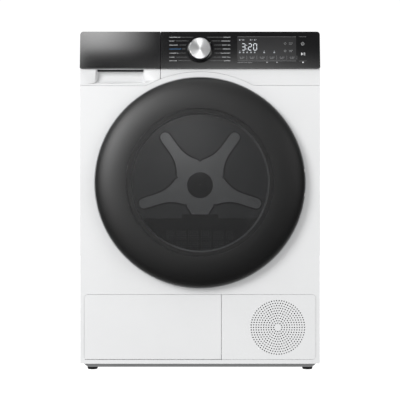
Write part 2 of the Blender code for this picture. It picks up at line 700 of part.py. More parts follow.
def make_mouth():
    centre = (0, 0, DOOR_Z)
    face = Y_FRONT + SHEET + TOUCH
    outer = MOUTH_RADIUS + MOUTH_FLANGE
    wall = MOUTH_RADIUS + PLASTIC
    mouth = [(MOUTH_RADIUS, face), (outer, face), (outer, face + PLASTIC), (wall, face + PLASTIC),
             (wall, MOUTH_BACK - TOUCH), (MOUTH_RADIUS, MOUTH_BACK - TOUCH)]
    mouth = turned("door_mouth", mouth, centre, steps=ROUND_STEPS)
    front, back, _, _ = filter_box()
    half = FILTER_HALF + 0.0155 + TOUCH
    notch = block("mouth_notch", (-half, front - TOUCH, DOOR_Z - MOUTH_RADIUS - 0.02),
                  (half, back + 0.01, LIP_Z - 0.030))
    x, z = hook_place()
    gap = block("mouth_catch_gap", (x - 0.0185, face - 0.01, z - 0.0225),
                (x + 0.0185, face + 0.03, z + 0.0225))
    part(cut(mouth, notch, gap), "light")

    side = HALF - 0.0075
    low, high = KICK_TOP + 0.012, STRIP_BOTTOM + 0.035
    plate_back = MOUTH_BACK + 0.0035
    loops = [rounded((-side, low), (side, high), (0.03, 0.03, 0.06, 0.06)),
             circle((0, DOOR_Z), MOUTH_RADIUS, ROUND_STEPS)]
    bulkhead = slab("front_bulkhead", loops, "Y", MOUTH_BACK, plate_back)
    for x, z in roller_places():
        axle = rod("roller_axle", (x, 0, z), 0.005, plate_back - 0.001, roller_span()[1] + 0.003)
        join(bulkhead, axle)
    part(bulkhead, "zinc")

    seal = [(DRUM_RADIUS - DRUM_LIP + 0.008, plate_back + TOUCH),
            (DRUM_RADIUS - 0.018, plate_back + TOUCH), (DRUM_RADIUS - 0.018, DRUM_FRONT - TOUCH),
            (DRUM_RADIUS - DRUM_LIP + 0.008, DRUM_FRONT - TOUCH)]
    part(turned("drum_felt_seal", seal, centre, steps=ROUND_STEPS), "felt")


def make_filter():
    front, back, slot_front, slot_back = filter_box()
    half = FILTER_HALF + 0.0155
    low = DOOR_Z - MOUTH_RADIUS - FILTER_DROP
    reach = math.sqrt((MOUTH_RADIUS - TOUCH) ** 2 - (LIP_Z - DOOR_Z) ** 2)
    drop = math.sqrt((MOUTH_RADIUS - TOUCH) ** 2 - half ** 2)
    start = math.atan2(LIP_Z - DOOR_Z, reach)
    end = math.atan2(-drop, half)
    right = arc((0, DOOR_Z), MOUTH_RADIUS - TOUCH, start, end, 8)
    edge = right + [(half, low), (-half, low)] + [(-x, z) for x, z in reversed(right)]
    housing = slab("filter_housing", [edge], "Y", front, back)
    slot = block("filter_slot", (-FILTER_HALF - RUNNING, slot_front, low - 0.01),
                 (FILTER_HALF + RUNNING, slot_back, LIP_Z + 0.01))
    cut(housing, slot)
    columns, bar = 6, 0.004
    pitch = (2 * FILTER_HALF - 0.004) / columns
    for column in range(columns):
        x = -FILTER_HALF + 0.002 + pitch * column
        for z0, z1 in ((LIP_Z - 0.080, LIP_Z - 0.056), (LIP_Z - 0.052, LIP_Z - 0.028)):
            cut(housing, block("grille", (x + bar / 2, front - 0.01, z0),
                               (x + pitch - bar / 2, slot_front + 0.001, z1)))
    part(housing, "light")

    y0, y1 = slot_front + RUNNING / 2, slot_back - RUNNING / 2
    filt = block("lint_filter", (-FILTER_HALF, y0, low + 0.002), (FILTER_HALF, y1, LIP_Z - 0.001))
    hollow = block("filter_hollow", (-FILTER_HALF + PLASTIC, y0 + 0.002, low + 0.010),
                   (FILTER_HALF - PLASTIC, y1 - 0.002, LIP_Z - 0.012))
    window = block("filter_window", (-FILTER_HALF + 0.010, y0 - 0.01, low + 0.030),
                   (FILTER_HALF - 0.010, y0 + 0.01, LIP_Z - 0.026))
    grip = block("filter_grip", (-0.045, y0 + 0.004, LIP_Z - 0.002),
                 (0.045, y1 - 0.004, LIP_Z + 0.010))
    on_axis("filter_slide", (0, (y0 + y1) / 2, low), part(join(cut(filt, hollow, window), grip), "dark"))


# ---- Drum
def make_drum():
    centre = (0, 0, DOOR_Z)
    lip = DRUM_RADIUS - DRUM_LIP
    inner = DRUM_RADIUS - DRUM_WALL
    shell = [(lip, DRUM_FRONT), (DRUM_RADIUS - 0.014, DRUM_FRONT),
             (DRUM_RADIUS - 0.003, DRUM_FRONT + 0.006), (DRUM_RADIUS, DRUM_FRONT + 0.014),
             (DRUM_RADIUS, DRUM_REAR), (inner, DRUM_REAR), (inner, DRUM_FRONT + 0.014),
             (inner - 0.003, DRUM_FRONT + 0.0075), (DRUM_RADIUS - 0.014, DRUM_FRONT + DRUM_WALL),
             (lip, DRUM_FRONT + DRUM_WALL)]
    shell = part(turned("drum_shell", shell, centre, steps=ROUND_STEPS), "steel")

    seat = inner - TOUCH
    face = DRUM_REAR - 0.010
    wall = turned("drum_rear_wall", [(0, face), (seat, face), (seat, face + 0.003),
                                     (0, face + 0.003)], centre, steps=ROUND_STEPS)
    star = slab("drum_star", [star_outline(seat - 0.070)], "Y", face - 0.006, face + 0.001)
    hub = [(0, face + 0.002), (0.045, face + 0.002), (0.045, face + 0.009),
           (SHAFT_RADIUS, face + 0.012), (SHAFT_RADIUS, bulkhead_y() + 0.024),
           (0, bulkhead_y() + 0.024)]
    wall = part(join(wall, star, turned("drum_shaft", hub, centre, steps=24)), "steel")

    lifters = []
    facet = math.cos(math.pi / ROUND_STEPS)
    for index in range(3):
        middle = math.pi / 2 + index * 2 * math.pi / 3
        half = math.asin(LIFTER_WIDTH / 2 / seat)
        foot = arc((0, DOOR_Z), seat * facet, middle - half, middle + half, 6)
        crest = (DRUM_RADIUS - LIFTER_HEIGHT) * math.cos(half / 2)
        tip = (crest * math.cos(middle), DOOR_Z + crest * math.sin(middle))
        nose = arc(tip, 0.010, middle + math.radians(260), middle + math.radians(100), 6)
        lifter = slab(f"drum_lifter_{index + 1}", [foot + nose[::-1]], "Y",
                      DRUM_FRONT + 0.030, face - 0.030)
        lifters.append(part(lifter, "steel"))
    on_axis("drum_axis", (0, DRUM_FRONT, DOOR_Z), shell, wall, *lifters)


def star_outline(reach):
    """Five arms with rounded webs between them, one arm pointing down."""
    points = []
    arms, samples = 5, 14
    for step in range(arms * samples):
        turn = 2 * math.pi * step / (arms * samples) - math.pi / 2
        lobe = (1 + math.cos(arms * (turn + math.pi / 2))) / 2
        radius = 0.055 + (reach - 0.055) * lobe ** 6
        points.append((radius * math.cos(turn), DOOR_Z + radius * math.sin(turn)))
    return points


def bulkhead_y():
    return DRUM_REAR + 0.017


def make_rear_bulkhead():
    side = HALF - SHEET - TOUCH - 0.003
    air = rounded((-0.11, DOOR_Z - 0.24), (0.11, DOOR_Z - 0.07), (0.03,) * 4)
    loops = [rounded((-side, 0.064), (side, SHEETS_TOP - 0.004), (0.02,) * 4),
             circle((0, DOOR_Z), 0.028, 24), air]
    plate = slab("rear_bulkhead", loops, "Y", bulkhead_y(), bulkhead_y() + PLASTIC)
    part(plate, "zinc")
    bore = SHAFT_RADIUS + TOUCH
    start, end = bulkhead_y() - 0.003, bulkhead_y() + 0.013
    seat = bulkhead_y() + PLASTIC + TOUCH
    bearing = [(bore, start), (0.0275, start), (0.0275, seat), (0.038, seat), (0.038, seat + 0.003),
               (0.0275, seat + 0.003), (0.0275, end), (bore, end)]
    part(turned("rear_bearing", bearing, (0, 0, DOOR_Z), steps=24), "brass")


def roller_places():
    distance = DRUM_RADIUS + TOUCH + ROLLER_RADIUS
    return [(sign * distance * math.sin(ROLLER_ANGLE), DOOR_Z - distance * math.cos(ROLLER_ANGLE))
            for sign in (-1, 1)]


def roller_span():
    return DRUM_FRONT + 0.0165, DRUM_FRONT + 0.0365


def make_rollers():
    start, end = roller_span()
    for name, (x, z) in zip(("drum_roller_left", "drum_roller_right"), roller_places()):
        bore = 0.005 + TOUCH
        ring = [(bore, start), (ROLLER_RADIUS - 0.001, start), (ROLLER_RADIUS, start + 0.001),
                (ROLLER_RADIUS, end - 0.001), (ROLLER_RADIUS - 0.001, end), (bore, end)]
        roller = part(turned(name, ring, (x, 0, z), steps=24), "rubber")
        on_axis(name + "_axis", (x, start, z), roller)


# ---- Motor, belt and blower
def belt_runs():
    """The direction from drum to motor, and the half angle that the belt's runs make with it."""
    dx, dz = MOTOR_X, MOTOR_Z - DOOR_Z
    return math.atan2(dz, dx), math.acos((DRUM_RADIUS - PULLEY_RADIUS) / math.hypot(dx, dz))


def belt_loop(offset):
    toward, spread = belt_runs()
    big = arc((0, DOOR_Z), DRUM_RADIUS + offset, toward + spread,
              toward - spread + 2 * math.pi, 64)
    small = arc((MOTOR_X, MOTOR_Z), PULLEY_RADIUS + offset, toward - spread, toward + spread, 12)
    return big + small


def idler_places():
    """The idler beside the belt's lower run, and the pivot of the arm that carries it."""
    toward, spread = belt_runs()
    outward = Vector((math.cos(toward - spread), math.sin(toward - spread)))
    start = Vector((0, DOOR_Z)) + outward * DRUM_RADIUS
    end = Vector((MOTOR_X, MOTOR_Z)) + outward * PULLEY_RADIUS
    offset = BELT_THICK + 2 * TOUCH + IDLER_RADIUS
    idler = end + (start - end).normalized() * 0.075 + outward * offset
    pivot = Vector((MOTOR_X, MOTOR_Z)) + Vector((-0.028, -0.034))
    return idler, pivot


def make_drive():
    belt = slab("drive_belt", [belt_loop(TOUCH + BELT_THICK), belt_loop(TOUCH)], "Y",
                BELT_Y - BELT_WIDTH / 2, BELT_Y + BELT_WIDTH / 2)
    part(belt, "rubber")

    rear = BELT_Y - 0.022
    front = rear - MOTOR_LENGTH
    place = (MOTOR_X, 0, MOTOR_Z)
    bore = 0.006 + TOUCH
    casing = [(bore, front), (0.030, front), (MOTOR_RADIUS, front + 0.015),
              (MOTOR_RADIUS, rear - 0.015), (0.045, rear), (bore, rear)]
    motor = turned("motor_body", casing, place, steps=24)
    foot = block("motor_foot", (MOTOR_X - 0.040, front + 0.020, BASE_FLOOR + TOUCH),
                 (MOTOR_X + 0.040, rear - 0.020, MOTOR_Z - 0.040))
    idler, pivot = idler_places()
    stud = rod("arm_stud", (pivot.x, 0, pivot.y), 0.005, rear - 0.012, BELT_Y + 0.022)
    part(join(motor, foot, stud), "dark")

    wheel_front, wheel_rear = blower_span()
    shaft = [(0, wheel_front), (0.006, wheel_front), (0.006, BELT_Y - 0.010),
             (PULLEY_RADIUS, BELT_Y - 0.010), (PULLEY_RADIUS, BELT_Y + 0.010), (0, BELT_Y + 0.010)]
    shaft = part(turned("motor_shaft", shaft, place, steps=24), "steel")
    wheel = blower_wheel(wheel_front, wheel_rear)
    on_axis("motor_axis", (MOTOR_X, front, MOTOR_Z), shaft, wheel)
    make_blower_housing(front)

    arm_front = BELT_Y + BELT_WIDTH / 2 + 0.0045
    along = math.atan2(idler.y - pivot.y, idler.x - pivot.x)
    ends = arc(idler, 0.008, along - math.pi / 2, along + math.pi / 2, 8)
    ends += arc(pivot, 0.010, along + math.pi / 2, along + 3 * math.pi / 2, 8)
    arm = slab("idler_arm", [ends, circle(pivot, 0.005 + TOUCH, 20)], "Y", arm_front, arm_front + 0.004)
    axle = rod("idler_axle", (idler.x, 0, idler.y), 0.004, BELT_Y - 0.008, arm_front + 0.002)
    arm = part(join(arm, axle), "zinc")
    bore = 0.004 + TOUCH
    start, end = BELT_Y - BELT_WIDTH / 2 - 0.002, BELT_Y + BELT_WIDTH / 2 + 0.002
    wheel = [(bore, start), (IDLER_RADIUS, start), (IDLER_RADIUS, end), (bore, end)]
    pulley = part(turned("idler_pulley", wheel, (idler.x, 0, idler.y), steps=24), "grey")
    empty = on_axis("idler_arm_axis", (pivot.x, arm_front, pivot.y), arm)
    axis = on_axis("idler_pulley_axis", (idler.x, start, idler.y), pulley)
    axis.parent = empty
    axis.matrix_parent_inverse = Matrix.Translation(-empty.location)


def blower_span():
    rear = BELT_Y - 0.022 - MOTOR_LENGTH - 0.008
    return rear - 0.044, rear


def blower_wheel(start, end):
    """A hub disc with blades round it, tied by a rim."""
    place = (MOTOR_X, 0, MOTOR_Z)
    bore, outer = 0.006 + TOUCH, 0.048
    disc = [(bore, end - 0.003), (outer, end - 0.003), (outer, end), (bore, end)]
    wheel = turned("blower_wheel", disc, place, steps=24)
    blades = 12
    for blade in range(blades):
        turn = Matrix.Rotation(2 * math.pi * blade / blades, 4, "Y")
        middle = (start + end) / 2
        fin = block("blower_blade", (0.034, start - middle + 0.001, -0.001),
                    (outer - 0.001, end - middle - 0.001, 0.001))
        fin.matrix_world = Matrix.Translation((MOTOR_X, middle, MOTOR_Z)) @ turn @ fin.matrix_world
        join(wheel, fin)
    rim = [(0.036, start), (outer, start), (outer, start + 0.003), (0.036, start + 0.003)]
    return part(join(wheel, turned("blower_rim", rim, place, steps=24)), "grey")


def make_blower_housing(motor_front):
    start, end = blower_span()
    front, back = start - 0.005, end + 0.005
    place = (MOTOR_X, MOTOR_Z)
    outlet = MOTOR_X - 0.115
    wall = PLASTIC

    def scroll(radius, top, bottom, left):
        loop = arc(place, radius, math.radians(-90), math.radians(90), 20)
        return loop + [(left, top), (left, bottom)]

    outer = scroll(0.062, MOTOR_Z + 0.062, MOTOR_Z - 0.062, outlet)
    inner = scroll(0.059, MOTOR_Z + 0.059, MOTOR_Z - 0.059, outlet - 0.01)
    housing = slab("blower_housing", [outer], "Y", front, back)
    hollow = slab("blower_hollow", [inner], "Y", front + wall, back - wall)
    eye = rod("blower_eye", (MOTOR_X, 0, MOTOR_Z), 0.034, front - 0.01, front + 0.01)
    shaft = rod("blower_shaft_hole", (MOTOR_X, 0, MOTOR_Z), 0.008, back - 0.01, back + 0.01)
    part(cut(housing, hollow, eye, shaft), "grey")


# ---- Heat pump
def finned(name, low, high, fins):
    """Thin plates side by side across X, hanging from a header."""
    x0, y0, z0 = low
    x1, y1, z1 = high
    pitch = (x1 - x0) / fins
    thick = pitch * 0.45
    header = z1 - 0.010
    points = [(x1, z1), (x0, z1)]
    for fin in range(fins):
        x = x0 + fin * pitch
        points += [(x, z0), (x + thick, z0), (x + thick, header)]
        if fin < fins - 1:
            points.append((x + pitch, header))
    points.append((x1, header))
    return part(slab(name, [points], "Y", y0, y1), "aluminium")


def coil_sides():
    return -HALF + 0.0325, FLAP_SPLIT_X - 0.018


def make_heat_pump():
    left, right = coil_sides()
    floor = BASE_FLOOR + TOUCH
    fins = 24
    finned("evaporator_coil", (left, Y_FRONT + 0.0480, floor),
           (right, Y_FRONT + 0.150, COIL_TOP), fins)
    finned("condenser_coil", (left, Y_FRONT + 0.165, floor), (right, Y_FRONT + 0.300, COIL_TOP), fins)

    x, y = MOTOR_X, Y_FRONT + 0.0925
    radius = COMPRESSOR_RADIUS
    can = [(0, floor), (radius, floor), (radius, COMPRESSOR_TOP - 0.030),
           (radius * 0.85, COMPRESSOR_TOP - 0.010), (radius * 0.5, COMPRESSOR_TOP),
           (0, COMPRESSOR_TOP)]
    part(turned("compressor", can, (x, y, 0), "Z", 24), "dark")

    front = Y_FRONT + 0.0205
    low, high = KICK_BOTTOM + 0.006, KICK_TOP - 0.006
    cover = slab("exchanger_cover", [rounded((left - 0.010, low), (right + 0.010, high), (0.008,) * 4)],
                 "Y", front, front + 0.010)
    hollow = slab("cover_hollow", [rounded((left, low + 0.010), (right, high - 0.010), (0.004,) * 4)],
                  "Y", front + PLASTIC, front + 0.02)
    cut(cover, hollow)
    lever_x, z = (left + right) / 2, KICK_TOP - 0.030
    stud = rod("lever_stud", (lever_x, 0, z), 0.004, front - 0.0075, front + 0.001)
    part(join(cover, stud), "grey")
    loop = arc((lever_x, z), 0.010, 0, math.pi, 12)
    loop += [(lever_x - 0.006, z - 0.045), (lever_x + 0.006, z - 0.045)]
    lever = slab("cover_lever", [loop, circle((lever_x, z), 0.004 + TOUCH, 20)], "Y",
                 front - 0.0065, front - TOUCH)
    on_axis("cover_lever_axis", (lever_x, front, z), part(lever, "dark"))


def make_pump_and_hose():
    """The condensate pump in the base, and its hose up the rear corner to the tank's tray."""
    x, y = -HALF + 0.0675, Y_REAR - 0.1275
    floor = BASE_FLOOR + TOUCH
    pump = block("condensate_pump", (x - 0.030, y - 0.030, floor), (x + 0.030, y + 0.030, 0.070), 0.004)
    spout_top = 0.085
    part(join(pump, rod("pump_spout", (x, y, 0), 0.005, 0.065, spout_top, "Z")), "dark")

    side = -HALF + 0.0095
    rear = DRUM_REAR + 0.002
    top = tank_base() - 0.0085
    route = [(x, y, spout_top + TOUCH), (x, y, 0.105), (x - 0.004, y + 0.004, 0.125),
             (x - 0.02, y + 0.012, 0.150),
             (side + 0.016, rear - 0.018, 0.185), (side + 0.002, rear - 0.008, 0.225),
             (side, rear - 0.004, 0.280), (side, rear - 0.004, DOOR_Z + 0.190),
             (side + 0.004, rear - 0.004, DOOR_Z + 0.225),
             (side + 0.020, rear - 0.006, top - 0.030), (side + 0.040, rear - 0.012, top - 0.008),
             (side + 0.060, rear - 0.020, top)]
    part(pipe("condensate_hose", route, 0.006), "rubber")


# ---- Water tank
def tank_base():
    return PANEL_BOTTOM + 0.0075


def make_tank():
    """The drawer: black front above, white front with its finger recess below, tank behind."""
    right = SPLIT_X - SEAM / 2
    black = panel_shell("tank_panel", -HALF, right, (0.001, 0.001, 0.001, PANEL_RADIUS))
    part(black, "black")

    white = slab("tank_front", [strip_outline(-HALF, right)], "Y", Y_FRONT, Y_FRONT + SHEET * 2)
    fold = block("tank_fold", (-HALF, Y_FRONT + SHEET, STRIP_BOTTOM + SEAM / 2),
                 (-HALF + SHEET, Y_FRONT + FLANGE, PANEL_BOTTOM - SEAM / 2))
    x0 = -HALF + 0.0325
    x1 = x0 + RECESS_WIDTH
    top, bottom = PANEL_BOTTOM - 0.0025, STRIP_BOTTOM + 0.006
    pod = block("recess_pod", (x0 - PLASTIC, Y_FRONT + SHEET, bottom - 0.002),
                (x1 + PLASTIC, Y_FRONT + RECESS_DEPTH + PLASTIC, PANEL_BOTTOM - SEAM / 2 - 0.0002))
    scoop = slab("recess_scoop", [[(Y_FRONT - 0.01, bottom), (Y_FRONT, bottom),
                                   (Y_FRONT + RECESS_DEPTH, top - 0.006),
                                   (Y_FRONT + RECESS_DEPTH, top), (Y_FRONT - 0.01, top)]],
                 "X", x0, x1)
    part(cut(join(white, fold, pod), scoop), "white")

    y0 = Y_FRONT + RECESS_DEPTH + PLASTIC + TOUCH
    y1 = y0 + TANK_DEPTH
    low, high = tank_base() + RUNNING, tank_base() + RUNNING + TANK_HEIGHT
    x0, x1 = -HALF + 0.0095, SPLIT_X - 0.0075
    tank = block("water_tank", (x0, y0, low), (x1, y1, high), 0.006)
    hollow = block("tank_hollow", (x0 + 0.0025, y0 + 0.0025, low + 0.0025),
                   (x1 - 0.0025, y1 - 0.0025, high - 0.0025), 0.005)
    fill = rod("tank_fill", ((x0 + x1) / 2, y1 - 0.045, 0), 0.018, high - 0.01, high + 0.01, "Z", 24)
    part(cut(tank, hollow, fill), "clear")
    on_axis("tank_slide", (SPLIT_X, Y_FRONT, tank_base()),
            *(bpy.data.objects[name] for name in ("tank_panel", "tank_front", "water_tank")))

    side = RUNNING + PLASTIC
    floor = tank_base()
    base = block("tank_tray", (x0 - side, y0 + 0.006, floor - PLASTIC),
                 (x1 + side, y1 + 0.010, floor + 0.030))
    channel = block("tank_channel", (x0 - RUNNING, y0 - 0.01, floor),
                    (x1 + RUNNING, y1 + 0.006, floor + 0.05))
    part(cut(base, channel), "light")


# ---- Assembly
make_base()
make_feet()
make_sides_and_back()
make_front_panel()
make_fascia_strip()
make_control_panel()
make_knob()
make_kick_area()
make_door()
make_hinge_and_catch()
make_mouth()
make_filter()
make_drum()
make_rear_bulkhead()
make_rollers()
make_drive()
make_heat_pump()
make_pump_and_hose()
make_tank()
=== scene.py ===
"""Looks of the front-loading clothes dryer: fine surfaces, materials, light and camera."""
import json
import math

import bmesh
import bpy
from mathutils import Matrix, Vector


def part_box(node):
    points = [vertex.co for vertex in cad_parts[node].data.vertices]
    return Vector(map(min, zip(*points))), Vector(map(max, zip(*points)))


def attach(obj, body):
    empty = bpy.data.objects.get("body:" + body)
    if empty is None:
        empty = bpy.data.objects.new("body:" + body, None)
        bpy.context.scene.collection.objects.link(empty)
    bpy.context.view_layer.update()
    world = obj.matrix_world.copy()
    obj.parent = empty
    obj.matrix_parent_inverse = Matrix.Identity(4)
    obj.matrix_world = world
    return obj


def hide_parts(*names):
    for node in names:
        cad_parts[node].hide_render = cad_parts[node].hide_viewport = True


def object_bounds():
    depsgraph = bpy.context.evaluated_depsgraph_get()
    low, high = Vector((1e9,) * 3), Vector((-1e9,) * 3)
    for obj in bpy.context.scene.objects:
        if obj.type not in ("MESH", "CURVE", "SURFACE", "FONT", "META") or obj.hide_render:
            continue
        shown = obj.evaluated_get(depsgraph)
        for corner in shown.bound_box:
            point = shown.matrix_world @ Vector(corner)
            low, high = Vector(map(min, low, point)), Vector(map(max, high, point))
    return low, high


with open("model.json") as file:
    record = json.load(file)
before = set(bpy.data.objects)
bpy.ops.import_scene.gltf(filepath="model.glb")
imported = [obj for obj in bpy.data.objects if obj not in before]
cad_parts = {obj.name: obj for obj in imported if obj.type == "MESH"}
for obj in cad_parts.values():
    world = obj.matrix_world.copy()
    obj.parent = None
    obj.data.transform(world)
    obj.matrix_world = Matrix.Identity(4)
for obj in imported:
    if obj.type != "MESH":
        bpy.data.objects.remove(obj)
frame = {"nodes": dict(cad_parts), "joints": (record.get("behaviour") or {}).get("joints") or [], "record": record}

CAD_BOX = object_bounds()

# ---- Places read from the frame
HALF, _, TOP = CAD_BOX[1]
TILT = math.radians(8)          # the control panel leans back


def box(node):
    return tuple(Vector(corner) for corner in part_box(node))


RING_LOW, RING_HIGH = box("door_ring")
FRONT_LOW, FRONT_HIGH = box("front_panel")
PANEL_LOW, PANEL_HIGH = box("control_fascia")
TANK_HIGH = box("tank_panel")[1]
FLAP_LOW, FLAP_HIGH = box("service_flap")
VENT_LOW, VENT_HIGH = box("vent_panel")
BASE_LOW, BASE_HIGH = box("base_tray")
DRUM_LOW, DRUM_HIGH = box("drum_shell")
DOOR_Z = (RING_LOW.z + RING_HIGH.z) / 2
DOOR_RADIUS = (RING_HIGH.z - RING_LOW.z) / 2
PANE_RADIUS = (box("door_glass")[1].x - box("door_glass")[0].x) / 2
Y_FRONT = FRONT_LOW.y
FACE_LOW = PANEL_LOW.y          # the panel's lower edge, in front of the front sheet
SEAM = 0.0006                   # half the gap between the outer panels
# The control panel's face: (across, up, out of it)
FACE = Matrix.Translation((0, FACE_LOW, PANEL_LOW.z)) @ Matrix.Rotation(math.pi / 2 - TILT, 4, "X")
FACE_HEIGHT = (TOP - PANEL_LOW.z) / math.cos(TILT)

# A flat outline's own X, Y and Z turned to the plane across each world axis
ACROSS = {
    "X": Matrix(((0, 0, 1, 0), (1, 0, 0, 0), (0, 1, 0, 0), (0, 0, 0, 1))),
    "Y": Matrix(((1, 0, 0, 0), (0, 0, -1, 0), (0, 1, 0, 0), (0, 0, 0, 1))),
    "Z": Matrix.Identity(4),
}
UNIT = {"X": Vector((1, 0, 0)), "Y": Vector((0, 1, 0)), "Z": Vector((0, 0, 1))}


# ---- Materials
def feed(tree, node, inputs):
    """Set a node's inputs to values, or join them to other nodes' outputs."""
    for key, value in inputs.items():
        if isinstance(value, bpy.types.NodeSocket):
            tree.links.new(value, node.inputs[key])
        else:
            node.inputs[key].default_value = value
    return node


def add(tree, kind, inputs=None):
    return feed(tree, tree.nodes.new("ShaderNode" + kind), inputs or {})


def surface(name, colour, roughness, metallic=0.0, mottle=0.03, scale=30.0, spread=0.04,
            grain=600.0, bump=0.02, depth=0.0004, stretch=(1, 1, 1), **sockets):
    """A Principled surface with its colour mottled, and its gloss and relief broken by a fine grain."""
    material = bpy.data.materials.new(name)
    material.use_nodes = True
    tree = material.node_tree
    coords = add(tree, "TexCoord").outputs["Object"]
    place = add(tree, "Mapping", {"Vector": coords, "Scale": stretch}).outputs["Vector"]
    cloud = add(tree, "TexNoise", {"Vector": place, "Scale": scale, "Detail": 3})
    ramp = add(tree, "ValToRGB", {"Fac": cloud.outputs["Fac"]})
    dark, pale = ramp.color_ramp.elements
    dark.position, pale.position = 0.3, 0.7
    dark.color = (*[c * (1 - mottle) for c in colour], 1)
    pale.color = (*[min(1, c * (1 + mottle)) for c in colour], 1)
    fine = add(tree, "TexNoise", {"Vector": place, "Scale": grain, "Detail": 2}).outputs["Fac"]
    gloss = add(tree, "MapRange", {"Value": fine, "To Min": max(0.02, roughness - spread),
                                   "To Max": min(1, roughness + spread)})
    relief = add(tree, "Bump", {"Height": fine, "Strength": bump, "Distance": depth})
    feed(tree, tree.nodes["Principled BSDF"],
         {"Base Color": ramp.outputs["Color"], "Roughness": gloss.outputs["Result"],
          "Normal": relief.outputs["Normal"], "Metallic": metallic,
          **{key.replace("_", " "): value for key, value in sockets.items()}})
    return material


def ink(name, colour, roughness=0.5, mottle=0.05, **sockets):
    """Print, and the display's lit signs."""
    return surface(name, colour, roughness, mottle=mottle, scale=300, bump=0.02, **sockets)


WHITE = surface("white_enamel", (0.82, 0.825, 0.83), 0.32, mottle=0.012, scale=9, grain=900,
                bump=0.05, depth=0.0003)
SIDE_WHITE = surface("side_enamel", (0.80, 0.805, 0.81), 0.4, mottle=0.012, scale=6, grain=1400,
                     bump=0.10, depth=0.0003)
WHITE_PLASTIC = surface("white_plastic", (0.80, 0.805, 0.81), 0.38, mottle=0.01, scale=14,
                        grain=1200, bump=0.06, depth=0.0002)
BLACK = surface("black_gloss", (0.009, 0.009, 0.0095), 0.07, mottle=0.15, scale=20, spread=0.015,
                grain=300, bump=0.002, depth=0.0001)
RING_BLACK = surface("door_black", (0.004, 0.004, 0.0042), 0.52, mottle=0.15, scale=14, spread=0.03,
                     grain=260, bump=0.003, depth=0.0002, Specular_IOR_Level=0.8)
WINDOW_EDGE = surface("window_edge", (0.055, 0.055, 0.056), 0.55, mottle=0.08, scale=30, bump=0.02)
TRIM = surface("dark_trim", (0.045, 0.046, 0.048), 0.42, mottle=0.06, scale=40, bump=0.05)
GLASS = surface("smoked_glass", (0.004, 0.004, 0.0042), 0.46, mottle=0.10, scale=8, spread=0.02,
                grain=200, bump=0.002, depth=0.0002, Alpha=0.34, Specular_IOR_Level=1.0)
LIGHT = surface("light_grey_plastic", (0.50, 0.51, 0.52), 0.42, mottle=0.02, scale=25, bump=0.08)
GREY = surface("grey_plastic", (0.30, 0.31, 0.32), 0.5, mottle=0.05, scale=30, grain=700, bump=0.15)
PLINTH = surface("plinth_plastic", (0.34, 0.345, 0.35), 0.5, mottle=0.04, scale=30, grain=700,
                 bump=0.12)
DARK = surface("dark_plastic", (0.035, 0.036, 0.038), 0.55, mottle=0.08, scale=40, grain=800,
               bump=0.2)
# Painted shade: a near black that stands for the shade behind the vent's holes, in the finger recess's slot and
# over the filter parts deep in the door's opening
PAINTED_SHADE = surface("vent_shadow", (0.02, 0.02, 0.021), 0.8, mottle=0.1, scale=50, bump=0.1)
DRUM_STEEL = surface("drum_steel", (0.55, 0.56, 0.57), 0.30, 0.95, mottle=0.04, scale=22,
                     spread=0.08, grain=500, bump=0.05, stretch=(1, 0.05, 1))
SHEET_STEEL = surface("zinc_sheet", (0.52, 0.53, 0.55), 0.42, 0.35, mottle=0.10, scale=45,
                      spread=0.10, grain=220, bump=0.06)
BRUSHED = surface("brushed_steel", (0.60, 0.61, 0.62), 0.28, 1.0, mottle=0.03, scale=30,
                  spread=0.08, grain=900, bump=0.08, stretch=(0.05, 1, 1))
CLEAR = surface("tank_plastic", (0.62, 0.66, 0.69), 0.20, mottle=0.03, scale=18, grain=300,
                bump=0.03, Alpha=0.55)
BOWL = surface("bowl_plastic", (0.10, 0.105, 0.11), 0.14, mottle=0.05, scale=12, grain=300,
               bump=0.004, Alpha=0.14)
PRINT = ink("print_white", (0.62, 0.63, 0.64))
PRINT_DIM = ink("print_grey", (0.30, 0.305, 0.31))
PRINT_BLUE = ink("print_blue", (0.06, 0.20, 0.42))
LIT = ink("display_lit", (0.55, 0.57, 0.60), 0.4, 0.04, Emission_Color=(0.75, 0.80, 0.86, 1),
          Emission_Strength=0.35)
RUBBER = surface("rubber", (0.022, 0.022, 0.023), 0.78, mottle=0.15, scale=60, grain=900, bump=0.25)
FELT = surface("felt", (0.28, 0.27, 0.25), 0.95, mottle=0.20, scale=120, grain=1500, bump=0.7,
               depth=0.001, Sheen_Weight=0.4)
ALUMINIUM = surface("aluminium_fins", (0.66, 0.67, 0.68), 0.38, 1.0, mottle=0.06, scale=60,
                    grain=700, bump=0.1)
BRONZE = surface("bronze", (0.48, 0.33, 0.14), 0.36, 1.0, mottle=0.10, scale=90, bump=0.08)
COPPER = surface("copper", (0.62, 0.30, 0.18), 0.34, 1.0, mottle=0.12, scale=70, bump=0.06)
BOARD = surface("circuit_board", (0.02, 0.13, 0.06), 0.45, mottle=0.15, scale=160, bump=0.1)
CAST = surface("black_painted_steel", (0.028, 0.028, 0.030), 0.42, 0.2, mottle=0.12, scale=35,
               grain=500, bump=0.2)
FRAME_SILVER = surface("frame_silver", (0.46, 0.47, 0.48), 0.34, 0.5, mottle=0.03, scale=30, bump=0.05)
REAR_WALL = surface("rear_wall", (0.15, 0.153, 0.158), 0.45, 0.10, mottle=0.05, scale=24, bump=0.05)
STAR = surface("star_steel", (0.52, 0.53, 0.54), 0.40, 0.10, mottle=0.05, scale=24, bump=0.05)
# Painted shade: a near black for the band round the drum's star that stands for the shade in its groove
GROOVE_SHADE = surface("star_groove_shade", (0.02, 0.02, 0.021), 0.6, mottle=0.1, scale=40, bump=0.1)
CAP = surface("hub_cap", (0.035, 0.036, 0.038), 0.30, 0.3, mottle=0.08, scale=40, bump=0.05)
# Painted shade: the drawer's white made darker for the finger recess's scoop
SCOOP_SHADE = surface("recess_shaded_white", (0.74, 0.745, 0.75), 0.42, mottle=0.01, scale=14, bump=0.06)
PANE = surface("display_pane", (0.020, 0.020, 0.021), 0.12, mottle=0.08, scale=20, spread=0.02,
               grain=300, bump=0.003, depth=0.0002)
